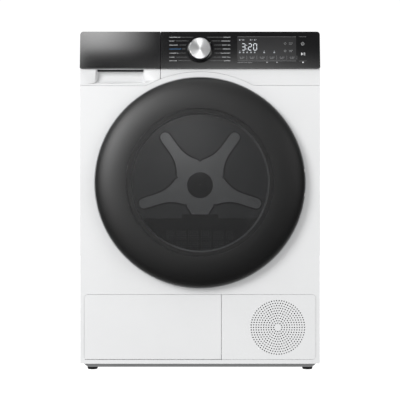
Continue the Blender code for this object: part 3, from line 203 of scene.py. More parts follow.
LIT_DIM = ink("display_dim", (0.30, 0.31, 0.33), 0.4, 0.04, Emission_Color=(0.55, 0.60, 0.66, 1),
              Emission_Strength=0.15)
LABEL = surface("label_paper", (0.62, 0.62, 0.60), 0.6, mottle=0.03, scale=60, bump=0.03)


def spun_metal():
    """Turned metal: fine rings about the knob's axis, and a highlight that fans out from its centre."""
    material = surface("spun_metal", (0.66, 0.665, 0.67), 0.30, 1.0, mottle=0.02, scale=40, spread=0.02,
                       Anisotropic=0.85)
    tree = material.node_tree
    tangent = add(tree, "Tangent")
    tangent.direction_type, tangent.axis = "RADIAL", "Z"
    feed(tree, tree.nodes["Principled BSDF"], {"Tangent": tangent.outputs["Tangent"]})
    return material


SPUN = spun_metal()

# CAD nodes that are seen as they are, by their finish
CARRIED = {
    SHEET_STEEL: "front_bulkhead rear_bulkhead idler_arm rear_panel rear_duct_cover",
    DRUM_STEEL: "drum_lifter_1 drum_lifter_2 drum_lifter_3",
    BRUSHED: "door_hook door_hinge_leaf hinge_bracket hinge_pin motor_shaft",
    GREY: "blower_housing blower_wheel idler_pulley exchanger_cover",
    DARK: "door_catch cover_lever condensate_pump door_mouth",
    # The filter's housing and the lint filter are coloured in the painted shade
    PAINTED_SHADE: "filter_housing lint_filter",
    CAST: "motor_body compressor",
    ALUMINIUM: "evaporator_coil condenser_coil",
    RUBBER: "drive_belt drum_roller_left drum_roller_right condensate_hose mains_inlet",
    BRONZE: "rear_bearing", FELT: "drum_felt_seal", BOARD: "control_board", LIGHT: "tank_tray",
    CLEAR: "water_tank",
}
BODY_OF = {node: body for body, names in frame["record"]["behaviour"]["bodies"].items()
           for node in names}


# ---- Building blocks
def linked(name, data):
    obj = bpy.data.objects.new(name, data)
    bpy.context.scene.collection.objects.link(obj)
    return obj


def arc(centre, radius, start, end, steps):
    turns = [start + (end - start) * step / steps for step in range(steps + 1)]
    return [(centre[0] + radius * math.cos(a), centre[1] + radius * math.sin(a)) for a in turns]


def circle(centre, radius, steps=48):
    return arc(centre, radius, 0, 2 * math.pi, steps)[:-1]


def rounded(low, high, radii, steps=8):
    """A rectangle with a radius at each corner, from the low corner anticlockwise."""
    corners = [(low[0], low[1], 1, 1), (high[0], low[1], -1, 1), (high[0], high[1], -1, -1),
               (low[0], high[1], 1, -1)]
    points = []
    for turn, ((u, v, du, dv), radius) in enumerate(zip(corners, radii)):
        if radius:
            start = math.pi + turn * math.pi / 2
            points += arc((u + du * radius, v + dv * radius), radius, start,
                          start + math.pi / 2, steps)
        else:
            points.append((u, v))
    return points


def made(name, mesh, material, matrix=None):
    """A new object in the frame, its place put into its mesh, smooth with sharp edges kept."""
    if matrix is not None:
        mesh.transform(matrix)
    if mesh.attributes.get("sharp_face"):
        mesh.attributes.remove(mesh.attributes["sharp_face"])
    mesh.shade_smooth()
    mesh.set_sharp_from_angle(angle=math.radians(32))
    obj = linked(name, mesh)
    mesh.materials.clear()
    mesh.materials.append(material)
    return obj


def from_shape(name, shape, material, matrix=None):
    bmesh.ops.recalc_face_normals(shape, faces=shape.faces)
    mesh = bpy.data.meshes.new(name)
    shape.to_mesh(mesh)
    shape.free()
    return made(name, mesh, material, matrix)


def mesh_of(curve):
    guide = linked("guide", curve)
    depsgraph = bpy.context.evaluated_depsgraph_get()
    mesh = bpy.data.meshes.new_from_object(guide.evaluated_get(depsgraph))
    bpy.data.objects.remove(guide, do_unlink=True)
    return mesh


def cap_mesh(loops, thickness):
    """A flat outline with holes, as a closed mesh."""
    curve = bpy.data.curves.new("outline", "CURVE")
    curve.dimensions = "2D"
    curve.fill_mode = "BOTH"
    curve.extrude = thickness / 2
    for loop in loops:
        spline = curve.splines.new("POLY")
        spline.points.add(len(loop) - 1)
        for point, (u, v) in zip(spline.points, loop):
            point.co = (u, v, 0, 1)
        spline.use_cyclic_u = True
    mesh = mesh_of(curve)
    shape = bmesh.new()
    shape.from_mesh(mesh)
    bmesh.ops.remove_doubles(shape, verts=shape.verts, dist=1e-6)
    bmesh.ops.recalc_face_normals(shape, faces=shape.faces)
    shape.to_mesh(mesh)
    shape.free()
    return mesh


def slab(name, loops, axis, start, end, material, edge=0.0):
    place = Matrix.Translation(UNIT[axis] * (start + end) / 2) @ ACROSS[axis]
    obj = made(name, cap_mesh(loops, end - start), material, place)
    return rounded_edges(obj, edge) if edge else obj


def on_face(name, loops, out_low, out_high, material, edge=0.0):
    """A flat piece on the control panel's leaning face, from out_low to out_high above it."""
    place = FACE @ Matrix.Translation((0, 0, (out_low + out_high) / 2))
    obj = made(name, cap_mesh(loops, out_high - out_low), material, place)
    return rounded_edges(obj, edge) if edge else obj


def rounded_edges(obj, width, segments=2):
    modifier = obj.modifiers.new("edges", "BEVEL")
    modifier.width = width
    modifier.segments = segments
    modifier.limit_method = "ANGLE"
    modifier.angle_limit = math.radians(35)
    modifier.harden_normals = True
    return obj


def block(name, low, high, material, edge=0.0):
    shape = bmesh.new()
    bmesh.ops.create_cube(shape, size=1)
    low, high = Vector(low), Vector(high)
    bmesh.ops.scale(shape, vec=high - low, verts=shape.verts)
    bmesh.ops.translate(shape, vec=(low + high) / 2, verts=shape.verts)
    obj = from_shape(name, shape, material)
    return rounded_edges(obj, edge) if edge else obj


def lathe(name, profile, material, matrix, steps=160):
    """A (radius, height) profile turned about the matrix's Z, closed into a ring off the axis."""
    shape = bmesh.new()
    closed = profile[0][0] > 0 or profile[-1][0] > 0
    rings = []
    for radius, height in profile:
        if radius <= 0:
            rings.append([shape.verts.new((0, 0, height))])
            continue
        turns = [2 * math.pi * step / steps for step in range(steps)]
        rings.append([shape.verts.new((radius * math.cos(a), radius * math.sin(a), height))
                      for a in turns])
    pairs = list(zip(rings, rings[1:] + rings[:1] if closed else rings[1:]))
    for first, second in pairs:
        if len(first) == len(second) == 1:
            continue
        for step in range(steps):
            corners = [first[step % len(first)], first[(step + 1) % len(first)],
                       second[(step + 1) % len(second)], second[step % len(second)]]
            shape.faces.new(dict.fromkeys(corners))
    return from_shape(name, shape, material, matrix)


def along_y(z=None, x=0.0):
    """A turned piece's axis along the world's Y, so a profile's heights are Y."""
    return Matrix.Translation((x, 0, DOOR_Z if z is None else z)) @ Matrix.Rotation(
        -math.pi / 2, 4, "X")


def cut(obj, *cutters, operation="DIFFERENCE"):
    """Cuts (or joins) obj and keeps the result as its mesh."""
    for cutter in cutters:
        modifier = obj.modifiers.new("cut", "BOOLEAN")
        modifier.operation = operation
        modifier.solver = "EXACT"
        modifier.object = cutter
    depsgraph = bpy.context.evaluated_depsgraph_get()
    mesh = bpy.data.meshes.new_from_object(obj.evaluated_get(depsgraph))
    for cutter in cutters:
        obj.modifiers.remove(obj.modifiers[-1])
        bpy.data.objects.remove(cutter, do_unlink=True)
    for modifier in list(obj.modifiers):
        obj.modifiers.remove(modifier)
    obj.data = mesh
    mesh.shade_smooth()
    mesh.set_sharp_from_angle(angle=math.radians(32))
    return obj


def joined(name, pieces, material=None):
    """Several pieces as one object."""
    shape = bmesh.new()
    depsgraph = bpy.context.evaluated_depsgraph_get()
    materials = []
    for piece in pieces:
        mesh = bpy.data.meshes.new_from_object(piece.evaluated_get(depsgraph))
        own = piece.data.materials[0]
        if own not in materials:
            materials.append(own)
        for polygon in mesh.polygons:
            polygon.material_index = materials.index(own)
        shape.from_mesh(mesh)
        bpy.data.objects.remove(piece, do_unlink=True)
    mesh = bpy.data.meshes.new(name)
    shape.to_mesh(mesh)
    shape.free()
    kept = [polygon.material_index for polygon in mesh.polygons]
    obj = made(name, mesh, material or materials[0])
    if material is None:
        for one in materials[1:]:
            mesh.materials.append(one)
        mesh.polygons.foreach_set("material_index", kept)
    return obj


def true_flats(obj):
    """Shade the broad flat faces flat, so that only the narrow edges carry the turn."""
    modifier = obj.modifiers.new("normals", "WEIGHTED_NORMAL")
    modifier.mode = "FACE_AREA"
    modifier.weight = 100
    modifier.keep_sharp = True


def stands_for(obj, *nodes, body=None):
    """The piece replaces these nodes and rides with them."""
    true_flats(obj)
    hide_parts(*nodes)
    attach(obj, body or BODY_OF[nodes[0]])
    return obj


def extra(obj, body):
    """A piece that the frame has no node for."""
    true_flats(obj)
    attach(obj, body)
    return obj


# ---- Door
def crown(inset, samples=40):
    """The ring's section from the window's edge to the rim, a wall's depth in."""
    front = RING_LOW.y + 0.0002
    fall = (RING_HIGH.y - RING_LOW.y) - 0.0072
    points = []
    for step in range(samples + 1):
        turn = math.pi / 2 * step / samples
        radius = PANE_RADIUS + (DOOR_RADIUS - PANE_RADIUS - inset) * math.sin(turn)
        points.append((radius, front + inset + (fall - inset) * (1 - math.cos(turn))))
    return points


def make_door():
    """The glossy ring, the window, the inner frame and the bowl behind the glass."""
    _, back = RING_LOW.y, RING_HIGH.y
    wall = 0.003
    profile = crown(0) + [(DOOR_RADIUS, back - 0.0008), (DOOR_RADIUS - 0.0008, back),
                          (DOOR_RADIUS - wall, back)] + crown(wall)[::-1]
    ring = lathe("DoorRing", profile, RING_BLACK, along_y(), 256)
    pin_low, pin_high = box("hinge_pin")
    pin = (pin_low + pin_high) / 2
    ear = 0.006
    for z in (pin_low.z + ear / 2, pin_high.z - ear / 2):
        cut(ring, block("slot", (pin.x, pin.y - 0.0026, z - 0.004),
                        (DOOR_RADIUS + 0.01, back + 0.01, z + 0.004), RING_BLACK))
    stands_for(ring, "door_ring")

    low, high = box("door_glass")
    edge = (low.y + 0.0006, high.y)
    pane = [(0, low.y), (PANE_RADIUS * 0.45, low.y + 0.00003), (PANE_RADIUS * 0.75, low.y + 0.0002),
            (PANE_RADIUS - 0.002, edge[0]), (PANE_RADIUS, edge[0] + 0.0012), (PANE_RADIUS, edge[1]),
            (0, edge[1])]
    stands_for(lathe("DoorWindow", pane, GLASS, along_y(), 192), "door_glass")
    border = [(PANE_RADIUS - 0.011, high.y + 0.0001), (PANE_RADIUS - 0.0005, high.y + 0.0001),
              (PANE_RADIUS - 0.0005, high.y + 0.0009), (PANE_RADIUS - 0.011, high.y + 0.0009)]
    extra(lathe("WindowBorder", border, WINDOW_EDGE, along_y(), 128), "door")

    low, high = box("door_inner_frame")
    outside = (high.z - low.z) / 2
    hole = (box("door_bowl")[1].z - box("door_bowl")[0].z) / 2 + 0.0003
    rim = [(hole, low.y), (outside - 0.0004, low.y), (outside, low.y + 0.0004),
           (outside - 0.0012, low.y + 0.0018), (outside - 0.0031, high.y),
           (hole + 0.001, high.y), (hole, high.y - 0.001)]
    frame_plate = lathe("DoorFrame", rim, FRAME_SILVER, along_y(), 192)
    for z in (pin_low.z + ear / 2, pin_high.z - ear / 2):
        cut(frame_plate, block("slot", (pin.x - 0.038, low.y - 0.01, z - 0.004),
                               (pin.x + 0.03, high.y + 0.01, z + 0.004), FRAME_SILVER))
    stands_for(frame_plate, "door_inner_frame")
    screws = []
    for step in range(6):
        turn = math.radians(60 * step + 30)
        screws.append(screw("screw", (0.2, DOOR_Z), turn, high.y))
    extra(joined("DoorScrews", screws), "door")

    low, high = box("door_bowl")
    radius = (high.z - low.z) / 2
    wall = 0.003
    outer = [(0, high.y), (radius - 0.030, high.y - 0.0002), (radius - 0.016, high.y - 0.0015),
             (radius - 0.010, high.y - 0.005), (radius - 0.006, high.y - 0.011),
             (radius - 0.003, high.y - 0.0135), (radius, high.y - 0.0145), (radius, low.y)]
    inner = [(radius - wall, low.y), (radius - 0.009, high.y - 0.011),
             (radius - 0.013, high.y - 0.006), (radius - 0.018, high.y - 0.0042),
             (radius - 0.030, high.y - wall), (0, high.y - wall)]
    stands_for(lathe("DoorBowl", outer + inner, BOWL, along_y(), 160), "door_bowl")


def screw(name, place, turn, front, out=1, radius=0.0042, material=None):
    """A low pan head with a cross in it, at (distance, height of the circle's centre) and turn."""
    distance, z = place
    at = (distance * math.cos(turn), front, z + distance * math.sin(turn))
    head = lathe(name, [(0, 0), (radius, 0), (radius, 0.0006), (radius * 0.75, 0.0014),
                        (radius * 0.3, 0.0018), (0, 0.0018)], material or BRUSHED,
                 Matrix.Translation(at) @ Matrix.Rotation(-math.pi / 2 * out, 4, "X"), 20)
    for tilt in (0, math.pi / 2):
        slot = block("slot", (-radius * 0.6, -0.0004, 0.0009), (radius * 0.6, 0.0004, 0.003), TRIM)
        slot.data.transform(Matrix.Translation(at) @ Matrix.Rotation(-math.pi / 2 * out, 4, "X")
                            @ Matrix.Rotation(tilt + turn, 4, "Z"))
        cut(head, slot)
    return head


# ---- Drum
STAR_HUB = 0.055                # from the hub's centre to where the arms begin
STAR_REACH = 0.186              # to the arms' round ends
STAR_ARM = 0.030                # an arm's width


def star_half_width(distance, hub, reach, arm):
    """Half an arm's width across at a distance from the hub's centre, flaring into the webs."""
    flare = max(0, 1 - (distance - hub) / (0.62 * (reach - hub)))
    return arm / 2 + 0.030 * flare ** 2.6


def star_loop(hub, reach, arm, samples=14):
    """Five arms with round ends and flared feet, one pointing down."""
    loop = []
    for index in range(5):
        turn = -math.pi / 2 + index * 2 * math.pi / 5
        along = Vector((math.cos(turn), math.sin(turn)))
        across = Vector((-along.y, along.x))
        side = []
        for step in range(samples + 1):
            distance = hub + (reach - arm / 2 - hub) * step / samples
            width = star_half_width(distance, hub, reach, arm)
            width = min(width, distance * math.tan(math.pi / 5) * 0.98)
            side.append((distance, width))
        end = arc((reach - arm / 2, 0), arm / 2, -math.pi / 2, math.pi / 2, 12)[1:-1]
        points = [(d, -w) for d, w in side] + end + [(d, w) for d, w in reversed(side)]
        loop += [tuple(along * d + across * w) for d, w in points]
    return [(u, DOOR_Z + v) for u, v in loop]


def make_drum():
    """The shell, and the rear wall with its star and a dark band round the star that paints the shade of its
    groove.
    """
    radius = (DRUM_HIGH.z - DRUM_LOW.z) / 2
    wall = 0.0015
    lip = radius - 0.048
    front, rear = DRUM_LOW.y, DRUM_HIGH.y
    bead = rear - 0.080
    outer = [(lip, front), (lip + 0.030, front)]
    outer += [(radius - 0.010 + 0.010 * math.sin(t), front + 0.012 - 0.012 * math.cos(t))
              for t in [math.pi / 2 * step / 8 for step in range(9)]]
    outer += [(radius, bead - 0.006), (radius - 0.0008, bead), (radius, bead + 0.006), (radius, rear)]
    inner = [(r - wall if y > front + 0.001 else r, y if y > front + 0.001 else y + wall)
             for r, y in outer]
    shell = lathe("DrumShell", outer + inner[::-1], DRUM_STEEL, along_y(), 192)
    stands_for(shell, "drum_shell")

    low, high = box("drum_rear_wall")
    seat = (high.z - low.z) / 2
    face = rear - 0.010
    plate = lathe("DrumRearWall", [(0, face), (seat - 0.004, face), (seat, face - 0.003),
                                   (seat, face + 0.003), (0, face + 0.003)], REAR_WALL, along_y(), 160)
    hub = [(0, face + 0.002), (0.045, face + 0.002), (0.045, face + 0.009), (0.012, face + 0.012),
           (0.012, high.y), (0, high.y)]
    shaft = lathe("shaft", hub, BRUSHED, along_y(), 48)
    star = slab("star", [star_loop(STAR_HUB, STAR_REACH, STAR_ARM)], "Y", low.y + 0.0005,
                face + 0.0004, STAR)
    # Painted shade: a flat dark band just larger than the star stands for its groove's shade
    groove = slab("groove", [star_loop(STAR_HUB + 0.002, STAR_REACH + 0.003, STAR_ARM + 0.008)], "Y",
                  face - 0.0008, face + 0.0002, GROOVE_SHADE)
    cap = lathe("cap", [(0, low.y), (0.036, low.y), (0.041, low.y + 0.0015), (0.043, low.y + 0.004),
                        (0.043, face + 0.001), (0, face + 0.001)], CAP, along_y(), 64)
    bolt = lathe("bolt", [(0, low.y - 0.0), (0.005, low.y), (0.006, low.y + 0.001),
                          (0.006, low.y + 0.003), (0, low.y + 0.003)], BRUSHED, along_y(), 24)
    stands_for(joined("DrumRear", [plate, shaft, groove, star, cap, bolt]), "drum_rear_wall")


# ---- Control panel
KNOB_LOW, KNOB_HIGH = box("knob_cap")
KNOB_Z = next(joint["pos_m"][2] for joint in frame["joints"] if joint["name"] == "knob_turn")
KNOB_UP = (KNOB_Z - PANEL_LOW.z) / math.cos(TILT)   # the knob's centre up the panel's face
KNOB_RADIUS = (KNOB_HIGH.x - KNOB_LOW.x) / 2
KNOB_OUT = 0.016
SPLIT = (TANK_HIGH.x + PANEL_LOW.x) / 2
TICK = math.radians(34.5)


def at_knob(up=0.0):
    return FACE @ Matrix.Translation((0, KNOB_UP, up))


def bevelled_plate(name, x0, x1, left, right, material):
    """One of the panel's two black plates, with a bevel that catches the light at its rim."""
    low, high = 0.0006, FACE_HEIGHT - 0.0008
    radii = (0.0015, 0.0025, right, left)
    return on_face(name, [rounded((x0, low), (x1, high), radii, 10)], -0.0042, 0, material, 0.0016)


def make_control_panel():
    """Two black plates, the fixed one with the knob's hole, on shells the same depth as the CAD's."""
    pieces = []
    fixed = bevelled_plate("plate", SPLIT + SEAM, HALF, 0.001, 0.008, BLACK)
    hole = lathe("hole", [(0, -0.03), (0.0205, -0.03), (0.0205, 0.01), (0, 0.01)], BLACK, at_knob(), 64)
    pieces.append(cut(fixed, hole))
    pieces.append(shell_behind("shell", SPLIT + SEAM, HALF, 0.001, 0.008))
    stands_for(joined("ControlPanel", pieces), "control_fascia")
    tank = [bevelled_plate("plate", -HALF, SPLIT - SEAM, 0.008, 0.001, BLACK),
            shell_behind("shell", -HALF, SPLIT - SEAM, 0.008, 0.001)]
    stands_for(joined("TankPanel", tank), "tank_panel")


def shell_behind(name, x0, x1, left, right):
    """The panel's sides, top and foot, from the plate back to the cabinet, round like the plate."""
    back = PANEL_HIGH.y
    low, top, wall = PANEL_LOW.z + 0.0012, TOP - 0.0006, 0.0024
    loops = []
    for inset in (0, wall):
        radii = (0.001, 0.001, max(right - inset, 0.001), max(left - inset, 0.001))
        loops.append(rounded((x0 + 0.0006 + inset, low + inset), (x1 - 0.0006 - inset, top - inset),
                             radii, 10))
    shell = slab(name, loops, "Y", FACE_LOW, back, BLACK)
    lean = slab("lean", [bar(-2, 2, -0.1, 0.3)], "Z", -0.0038, 0.2, BLACK)
    lean.data.transform(FACE)
    return cut(shell, lean)


def make_knob():
    """A black skirt with a light tick, and a cap of spun metal with a bevel at its rim."""
    skirt = (KNOB_RADIUS + 0.0042, KNOB_RADIUS + 0.0030)
    base = lathe("skirt", [(0, 0.0005), (skirt[0] - 0.0006, 0.0005), (skirt[0], 0.0014),
                           (skirt[0], 0.0030), (skirt[1], 0.0046), (KNOB_RADIUS - 0.001, 0.0050),
                           (0, 0.0050)], BLACK, at_knob(), 160)
    tick = block("tick", (KNOB_RADIUS + 0.0002, -0.0005, 0.0044),
                 (skirt[0] - 0.0004, 0.0005, 0.0051), PRINT)
    tick.data.transform(at_knob() @ Matrix.Rotation(TICK, 4, "Z"))
    stands_for(joined("KnobSkirt", [base, tick]), "knob_skirt")
    rim = KNOB_RADIUS
    cap = [(0, 0.0052), (rim, 0.0052), (rim, KNOB_OUT - 0.0022), (rim - 0.0004, KNOB_OUT - 0.0014),
           (rim - 0.0016, KNOB_OUT - 0.0002), (rim - 0.0022, KNOB_OUT), (0, KNOB_OUT)]
    obj = lathe("KnobCap", cap, SPUN, Matrix.Identity(4), 192)
    obj.matrix_world = at_knob()
    stands_for(obj, "knob_cap")


def bar(x0, x1, up0, up1):
    return [(x0, up0), (x1, up0), (x1, up1), (x0, up1)]


def printed(name, loops, material, out=0.00006):
    """Loops of print on the panel, a hair above its face."""
    return on_face(name, loops, out - 0.00004, out, material)


def word(x, up, widths, height=0.0019, gap=0.0016):
    """Runs of small upright dashes, one for each width, that stand for a line of print."""
    loops = []
    for width in widths:
        count = max(1, round(width / 0.0013))
        for index in range(count):
            left = x + width * index / count
            rise = height * (1 if index % 3 == 0 else 0.72)
            loops.append(bar(left, left + 0.00075, up - height / 2, up - height / 2 + rise))
        x += width + gap
    return loops


def stroke(points, width):
    """A line through the points, as a flat outline."""
    left, right = [], []
    for index, point in enumerate(points):
        before = Vector(points[max(index - 1, 0)])
        after = Vector(points[min(index + 1, len(points) - 1)])
        across = (after - before).normalized() * width / 2
        left.append((point[0] - across.y, point[1] + across.x))
        right.append((point[0] + across.y, point[1] - across.x))
    return left + right[::-1]


ROWS = [0.0789, 0.0694, 0.0589, 0.0489, 0.0384, 0.0281, 0.0189]     # up the face, from the top
LEFT_WORDS = [(0.0195, 0.0060), (0.0120,), (0.0210,), (0.0285,), (0.0165, 0.0045), (0.0130,),
              (0.0185,)]
RIGHT_WORDS = [(0.0170,), (0.0220,), (0.0130, 0.0060), (0.0190,), (0.0240,), (0.0110, 0.0080),
               (0.0160,)]
MARK_REACH = 0.0755


def make_programme_marks():
    """Seven short lines of marks on each side of the knob, with leaders that point at it."""
    pale, blue, dim = [], [], []
    for row, up in enumerate(ROWS):
        rise = up - KNOB_UP
        side = math.sqrt(max(0.00001, (KNOB_RADIUS + 0.0085) ** 2 - min(abs(rise), 0.033) ** 2))
        left = word(-MARK_REACH, up, LEFT_WORDS[row])
        (blue if row == 3 else pale).extend(left)
        run = sum(RIGHT_WORDS[row]) + 0.0016 * (len(RIGHT_WORDS[row]) - 1)
        pale.extend(word(MARK_REACH - run, up, RIGHT_WORDS[row]))
        for sign, width in ((-1, sum(LEFT_WORDS[row])), (1, run)):
            start = sign * (MARK_REACH - width - 0.0030)
            end = sign * max(side, 0.010)
            if abs(start) > abs(end) + 0.002:
                dim.append(stroke([(start, up), (end, up)], 0.00035))
    return ([printed("ProgrammeMarks", pale, PRINT), printed("ProgrammeBlue", blue, PRINT_BLUE),
             printed("ProgrammeLeaders", dim, PRINT_DIM)])


SEGMENTS = {"top": ((0, 2), (1, 2)), "upper left": ((0, 1), (0, 2)), "upper right": ((1, 1), (1, 2)),
            "middle": ((0, 1), (1, 1)), "lower left": ((0, 0), (0, 1)),
            "lower right": ((1, 0), (1, 1)), "bottom": ((0, 0), (1, 0))}
DIGITS = {"3": ("top", "upper right", "middle", "lower right", "bottom"),
          "2": ("top", "upper right", "middle", "lower left", "bottom"),
          "0": ("top", "upper left", "upper right", "lower left", "lower right", "bottom")}


def digit(x, up, kind, width=0.0078, half=0.0082, thick=0.0017):
    loops = []
    for name in DIGITS[kind]:
        (u0, v0), (u1, v1) = SEGMENTS[name]
        start = Vector((x + u0 * width, up + v0 * half))
        end = Vector((x + u1 * width, up + v1 * half))
        trim = (end - start).normalized() * thick * 0.6
        loops.append(stroke([tuple(start + trim), tuple(end - trim)], thick))
    return loops


DISPLAY_X = 0.0925
DISPLAY_END = 0.2385
DISPLAY_UP = (0.0188, 0.0794)
DISPLAY_DROP = -0.0028          # the signs' heights below are from this much lower


def lowered(loops):
    return [[(u, v + DISPLAY_DROP) for u, v in loop] for loop in loops]


def make_display():
    """The display's darker pane with its time and small signs, and the touch marks round it."""
    low, high = DISPLAY_UP
    glassy = printed("DisplayPane", [rounded((DISPLAY_X, low), (DISPLAY_END, high), (0.0012,) * 4, 4)],
                     PANE, 0.00005)
    start = DISPLAY_X + 0.0115
    digits = digit(start, 0.0487, "3")
    digits += [circle((start + 0.0119, 0.0519 + shift), 0.0009, 12) for shift in (0, 0.0090)]
    digits += digit(start + 0.0160, 0.0487, "2") + digit(start + 0.0288, 0.0487, "0")
    time = printed("DisplayTime", lowered(digits), LIT, 0.00012)
    signs = []
    for x in (0.0985, 0.1068, 0.1255, 0.1355):
        signs.append(circle((x, 0.0747), 0.0016, 16))
        signs.append(stroke([(x + 0.0026, 0.0735), (x + 0.0046, 0.0760)], 0.0006))
    for x in (0.0985, 0.1080, 0.1168, 0.1265, 0.1355, 0.1590, 0.1840):
        signs.append(rounded((x - 0.0018, 0.0412), (x + 0.0018, 0.0442), (0.0005,) * 4, 3))
        signs.append(circle((x, 0.0463), 0.0008, 12))
    small = printed("DisplaySigns", lowered(signs), LIT_DIM, 0.00012)
    touch = []
    for x in (0.1040, 0.1290, 0.1540, 0.1780, 0.2030, 0.2280):
        touch += word(x - 0.0055, 0.0308, (0.0045, 0.0058), 0.0016)
        touch += word(x - 0.0040, 0.0275, (0.0080,), 0.0014)
        touch.append(stroke([(x + 0.0118, 0.0245), (x + 0.0118, 0.0345)], 0.0003))
    rules = [stroke([(start, up), (end, up)], 0.0004) for up in (high + 0.0005, low - 0.0005)
             for start, end in ((DISPLAY_X + 0.0005, DISPLAY_END), (0.2460, 0.2640))]
    touch += word(DISPLAY_X + 0.0010, 0.0172, (0.0150, 0.0070, 0.0110), 0.0016)
    for up in (0.0655, 0.0465):
        touch.append(ring_loop((0.2110, up), 0.0026, 0.0020))
        touch += word(0.2210, up + 0.0016, (0.0090,), 0.0015) + word(0.2210, up - 0.0016, (0.0070,), 0.0015)
    for x in (0.1660, 0.1905):
        touch.append(rounded((x - 0.0020, 0.0165), (x + 0.0020, 0.0190), (0.0006,) * 4, 3))
    marks = printed("TouchMarks", rules + lowered(touch), PRINT_DIM, 0.00012)
    power = [ring_loop((0.2545, 0.0650), 0.0038, 0.0031, 0.7),
             stroke([(0.2545, 0.0652), (0.2545, 0.0697)], 0.0007)]
    play = [[(0.2505, 0.0352), (0.2505, 0.0428), (0.2562, 0.0390)],
            bar(0.2572, 0.2582, 0.0354, 0.0426), bar(0.2592, 0.2602, 0.0354, 0.0426)]
    play.append([(0.2525, 0.0162), (0.2575, 0.0162), (0.2550, 0.0205)])
    return [glassy, time, small, marks, printed("PowerMark", lowered(power), PRINT, 0.00012),
            printed("StartMark", lowered(play), PRINT, 0.00012)]


def ring_loop(centre, outer, inner, open_part=0.0):
    """A ring, open at the top by that many radians to each side, as one outline."""
    start, end = math.pi / 2 + max(open_part, 0.02), math.pi * 5 / 2 - max(open_part, 0.02)
    return arc(centre, outer, start, end, 28) + arc(centre, inner, end, start, 28)


# ---- Body
ARCH_RADIUS = DOOR_RADIUS + 0.016
STRIP_X = box("fascia_strip")[0].x
STRIP_LOW, STRIP_HIGH = (corner.z for corner in box("fascia_strip"))
FILLET = 0.010                  # where the seam turns into the arch
RECESS_INSET = 0.0325           # the finger recess from the left side
RECESS_WIDTH = 0.134


def seam_line(offset, x0, x1):
    """The seam under the strip: straight, with soft corners into the arch over the door."""
    seam = STRIP_LOW - SEAM + offset
    radius = ARCH_RADIUS + offset
    rise = seam + FILLET - DOOR_Z
    middle = math.sqrt((radius + FILLET) ** 2 - rise ** 2)
    foot = math.atan2(-rise, middle)
    left = arc((-middle, seam + FILLET), FILLET, -math.pi / 2, foot, 10)
    foot = math.atan2(-rise, -middle) % (2 * math.pi)
    right = arc((middle, seam + FILLET), FILLET, foot, 3 * math.pi / 2, 10)
    crown_start = math.atan2(left[-1][1] - DOOR_Z, left[-1][0])
    crown_end = math.atan2(right[0][1] - DOOR_Z, right[0][0])
    points = left + arc((0, DOOR_Z), radius, crown_start, crown_end, 96)[1:-1] + right
    line = [(x0, seam)] + [point for point in points if x0 + 1e-4 < point[0] < x1 - 1e-4]
    inside = [point for point in points if point[0] <= x0]
    if inside and inside[-1][1] > seam + 1e-5:
        nearest = min(points, key=lambda point: abs(point[0] - x0))
        line[0] = (x0, nearest[1])
    outside = [point for point in points if point[0] >= x1]
    last = (x1, seam)
    if outside and outside[0][1] > seam + 1e-5:
        nearest = min(points, key=lambda point: abs(point[0] - x1))
        last = (x1, nearest[1])
    return line + [last]


KICK_LOW = 0.030                # the kick area's lower edge in the front sheet
KICK_CORNER = 0.0095
FLAP_CORNER = 0.0012            # the flap's lower corner, small so that it swings clear
PIVOT_RISE = 0.0034             # the flap's axis above its lower edge
VENT_INSET = 0.0939             # the vent's centre, from the panel's right edge
VENT_HEIGHT = 0.110             # and above the floor
VENT_RINGS = 10
VENT_FIRST = 0.0106             # the first ring's radius
VENT_PITCH = 0.00619            # between rings
VENT_HOLE = 0.00165             # a hole's radius


def make_front():
    """The front sheet below the strip, with the door's and the kick area's openings."""
    bottom = FRONT_LOW.z
    edge = seam_line(-SEAM * 0.5, -HALF, HALF)
    outline = edge + [(HALF, bottom), (-HALF, bottom)]
    side = -FLAP_LOW.x + SEAM
    opening = rounded((-side, KICK_LOW), (side, VENT_HIGH.z + SEAM),
                      (FLAP_CORNER + 0.0004, KICK_CORNER, KICK_CORNER, KICK_CORNER), 12)
    low, high = box("door_mouth")
    mouth = circle((0, DOOR_Z), (high.x - low.x) / 2 - 0.007, 128)
    catch_low, catch_high = box("door_catch")
    x, z = (catch_low.x + catch_high.x) / 2, (catch_low.z + catch_high.z) / 2
    slot = rounded((x - 0.008, z - 0.012), (x + 0.008, z + 0.012), (0.0015,) * 4, 4)
    sheet = slab("FrontSheet", [outline, opening, mouth, slot], "Y", Y_FRONT, Y_FRONT + 0.0012, WHITE,
                 0.0004)
    folds = [sheet]
    for sign in (-1, 1):
        inner, outer = sorted((sign * (HALF - 0.0012), sign * HALF))
        folds.append(block("fold", (inner, Y_FRONT + 0.0004, bottom), (outer, FRONT_HIGH.y, edge[0][1]),
                           WHITE, 0.0003))
    stands_for(joined("FrontSheet", folds), "front_panel")


def strip_loop(x0, x1):
    return seam_line(SEAM * 0.5, x0, x1) + [(x1, STRIP_HIGH), (x0, STRIP_HIGH)]


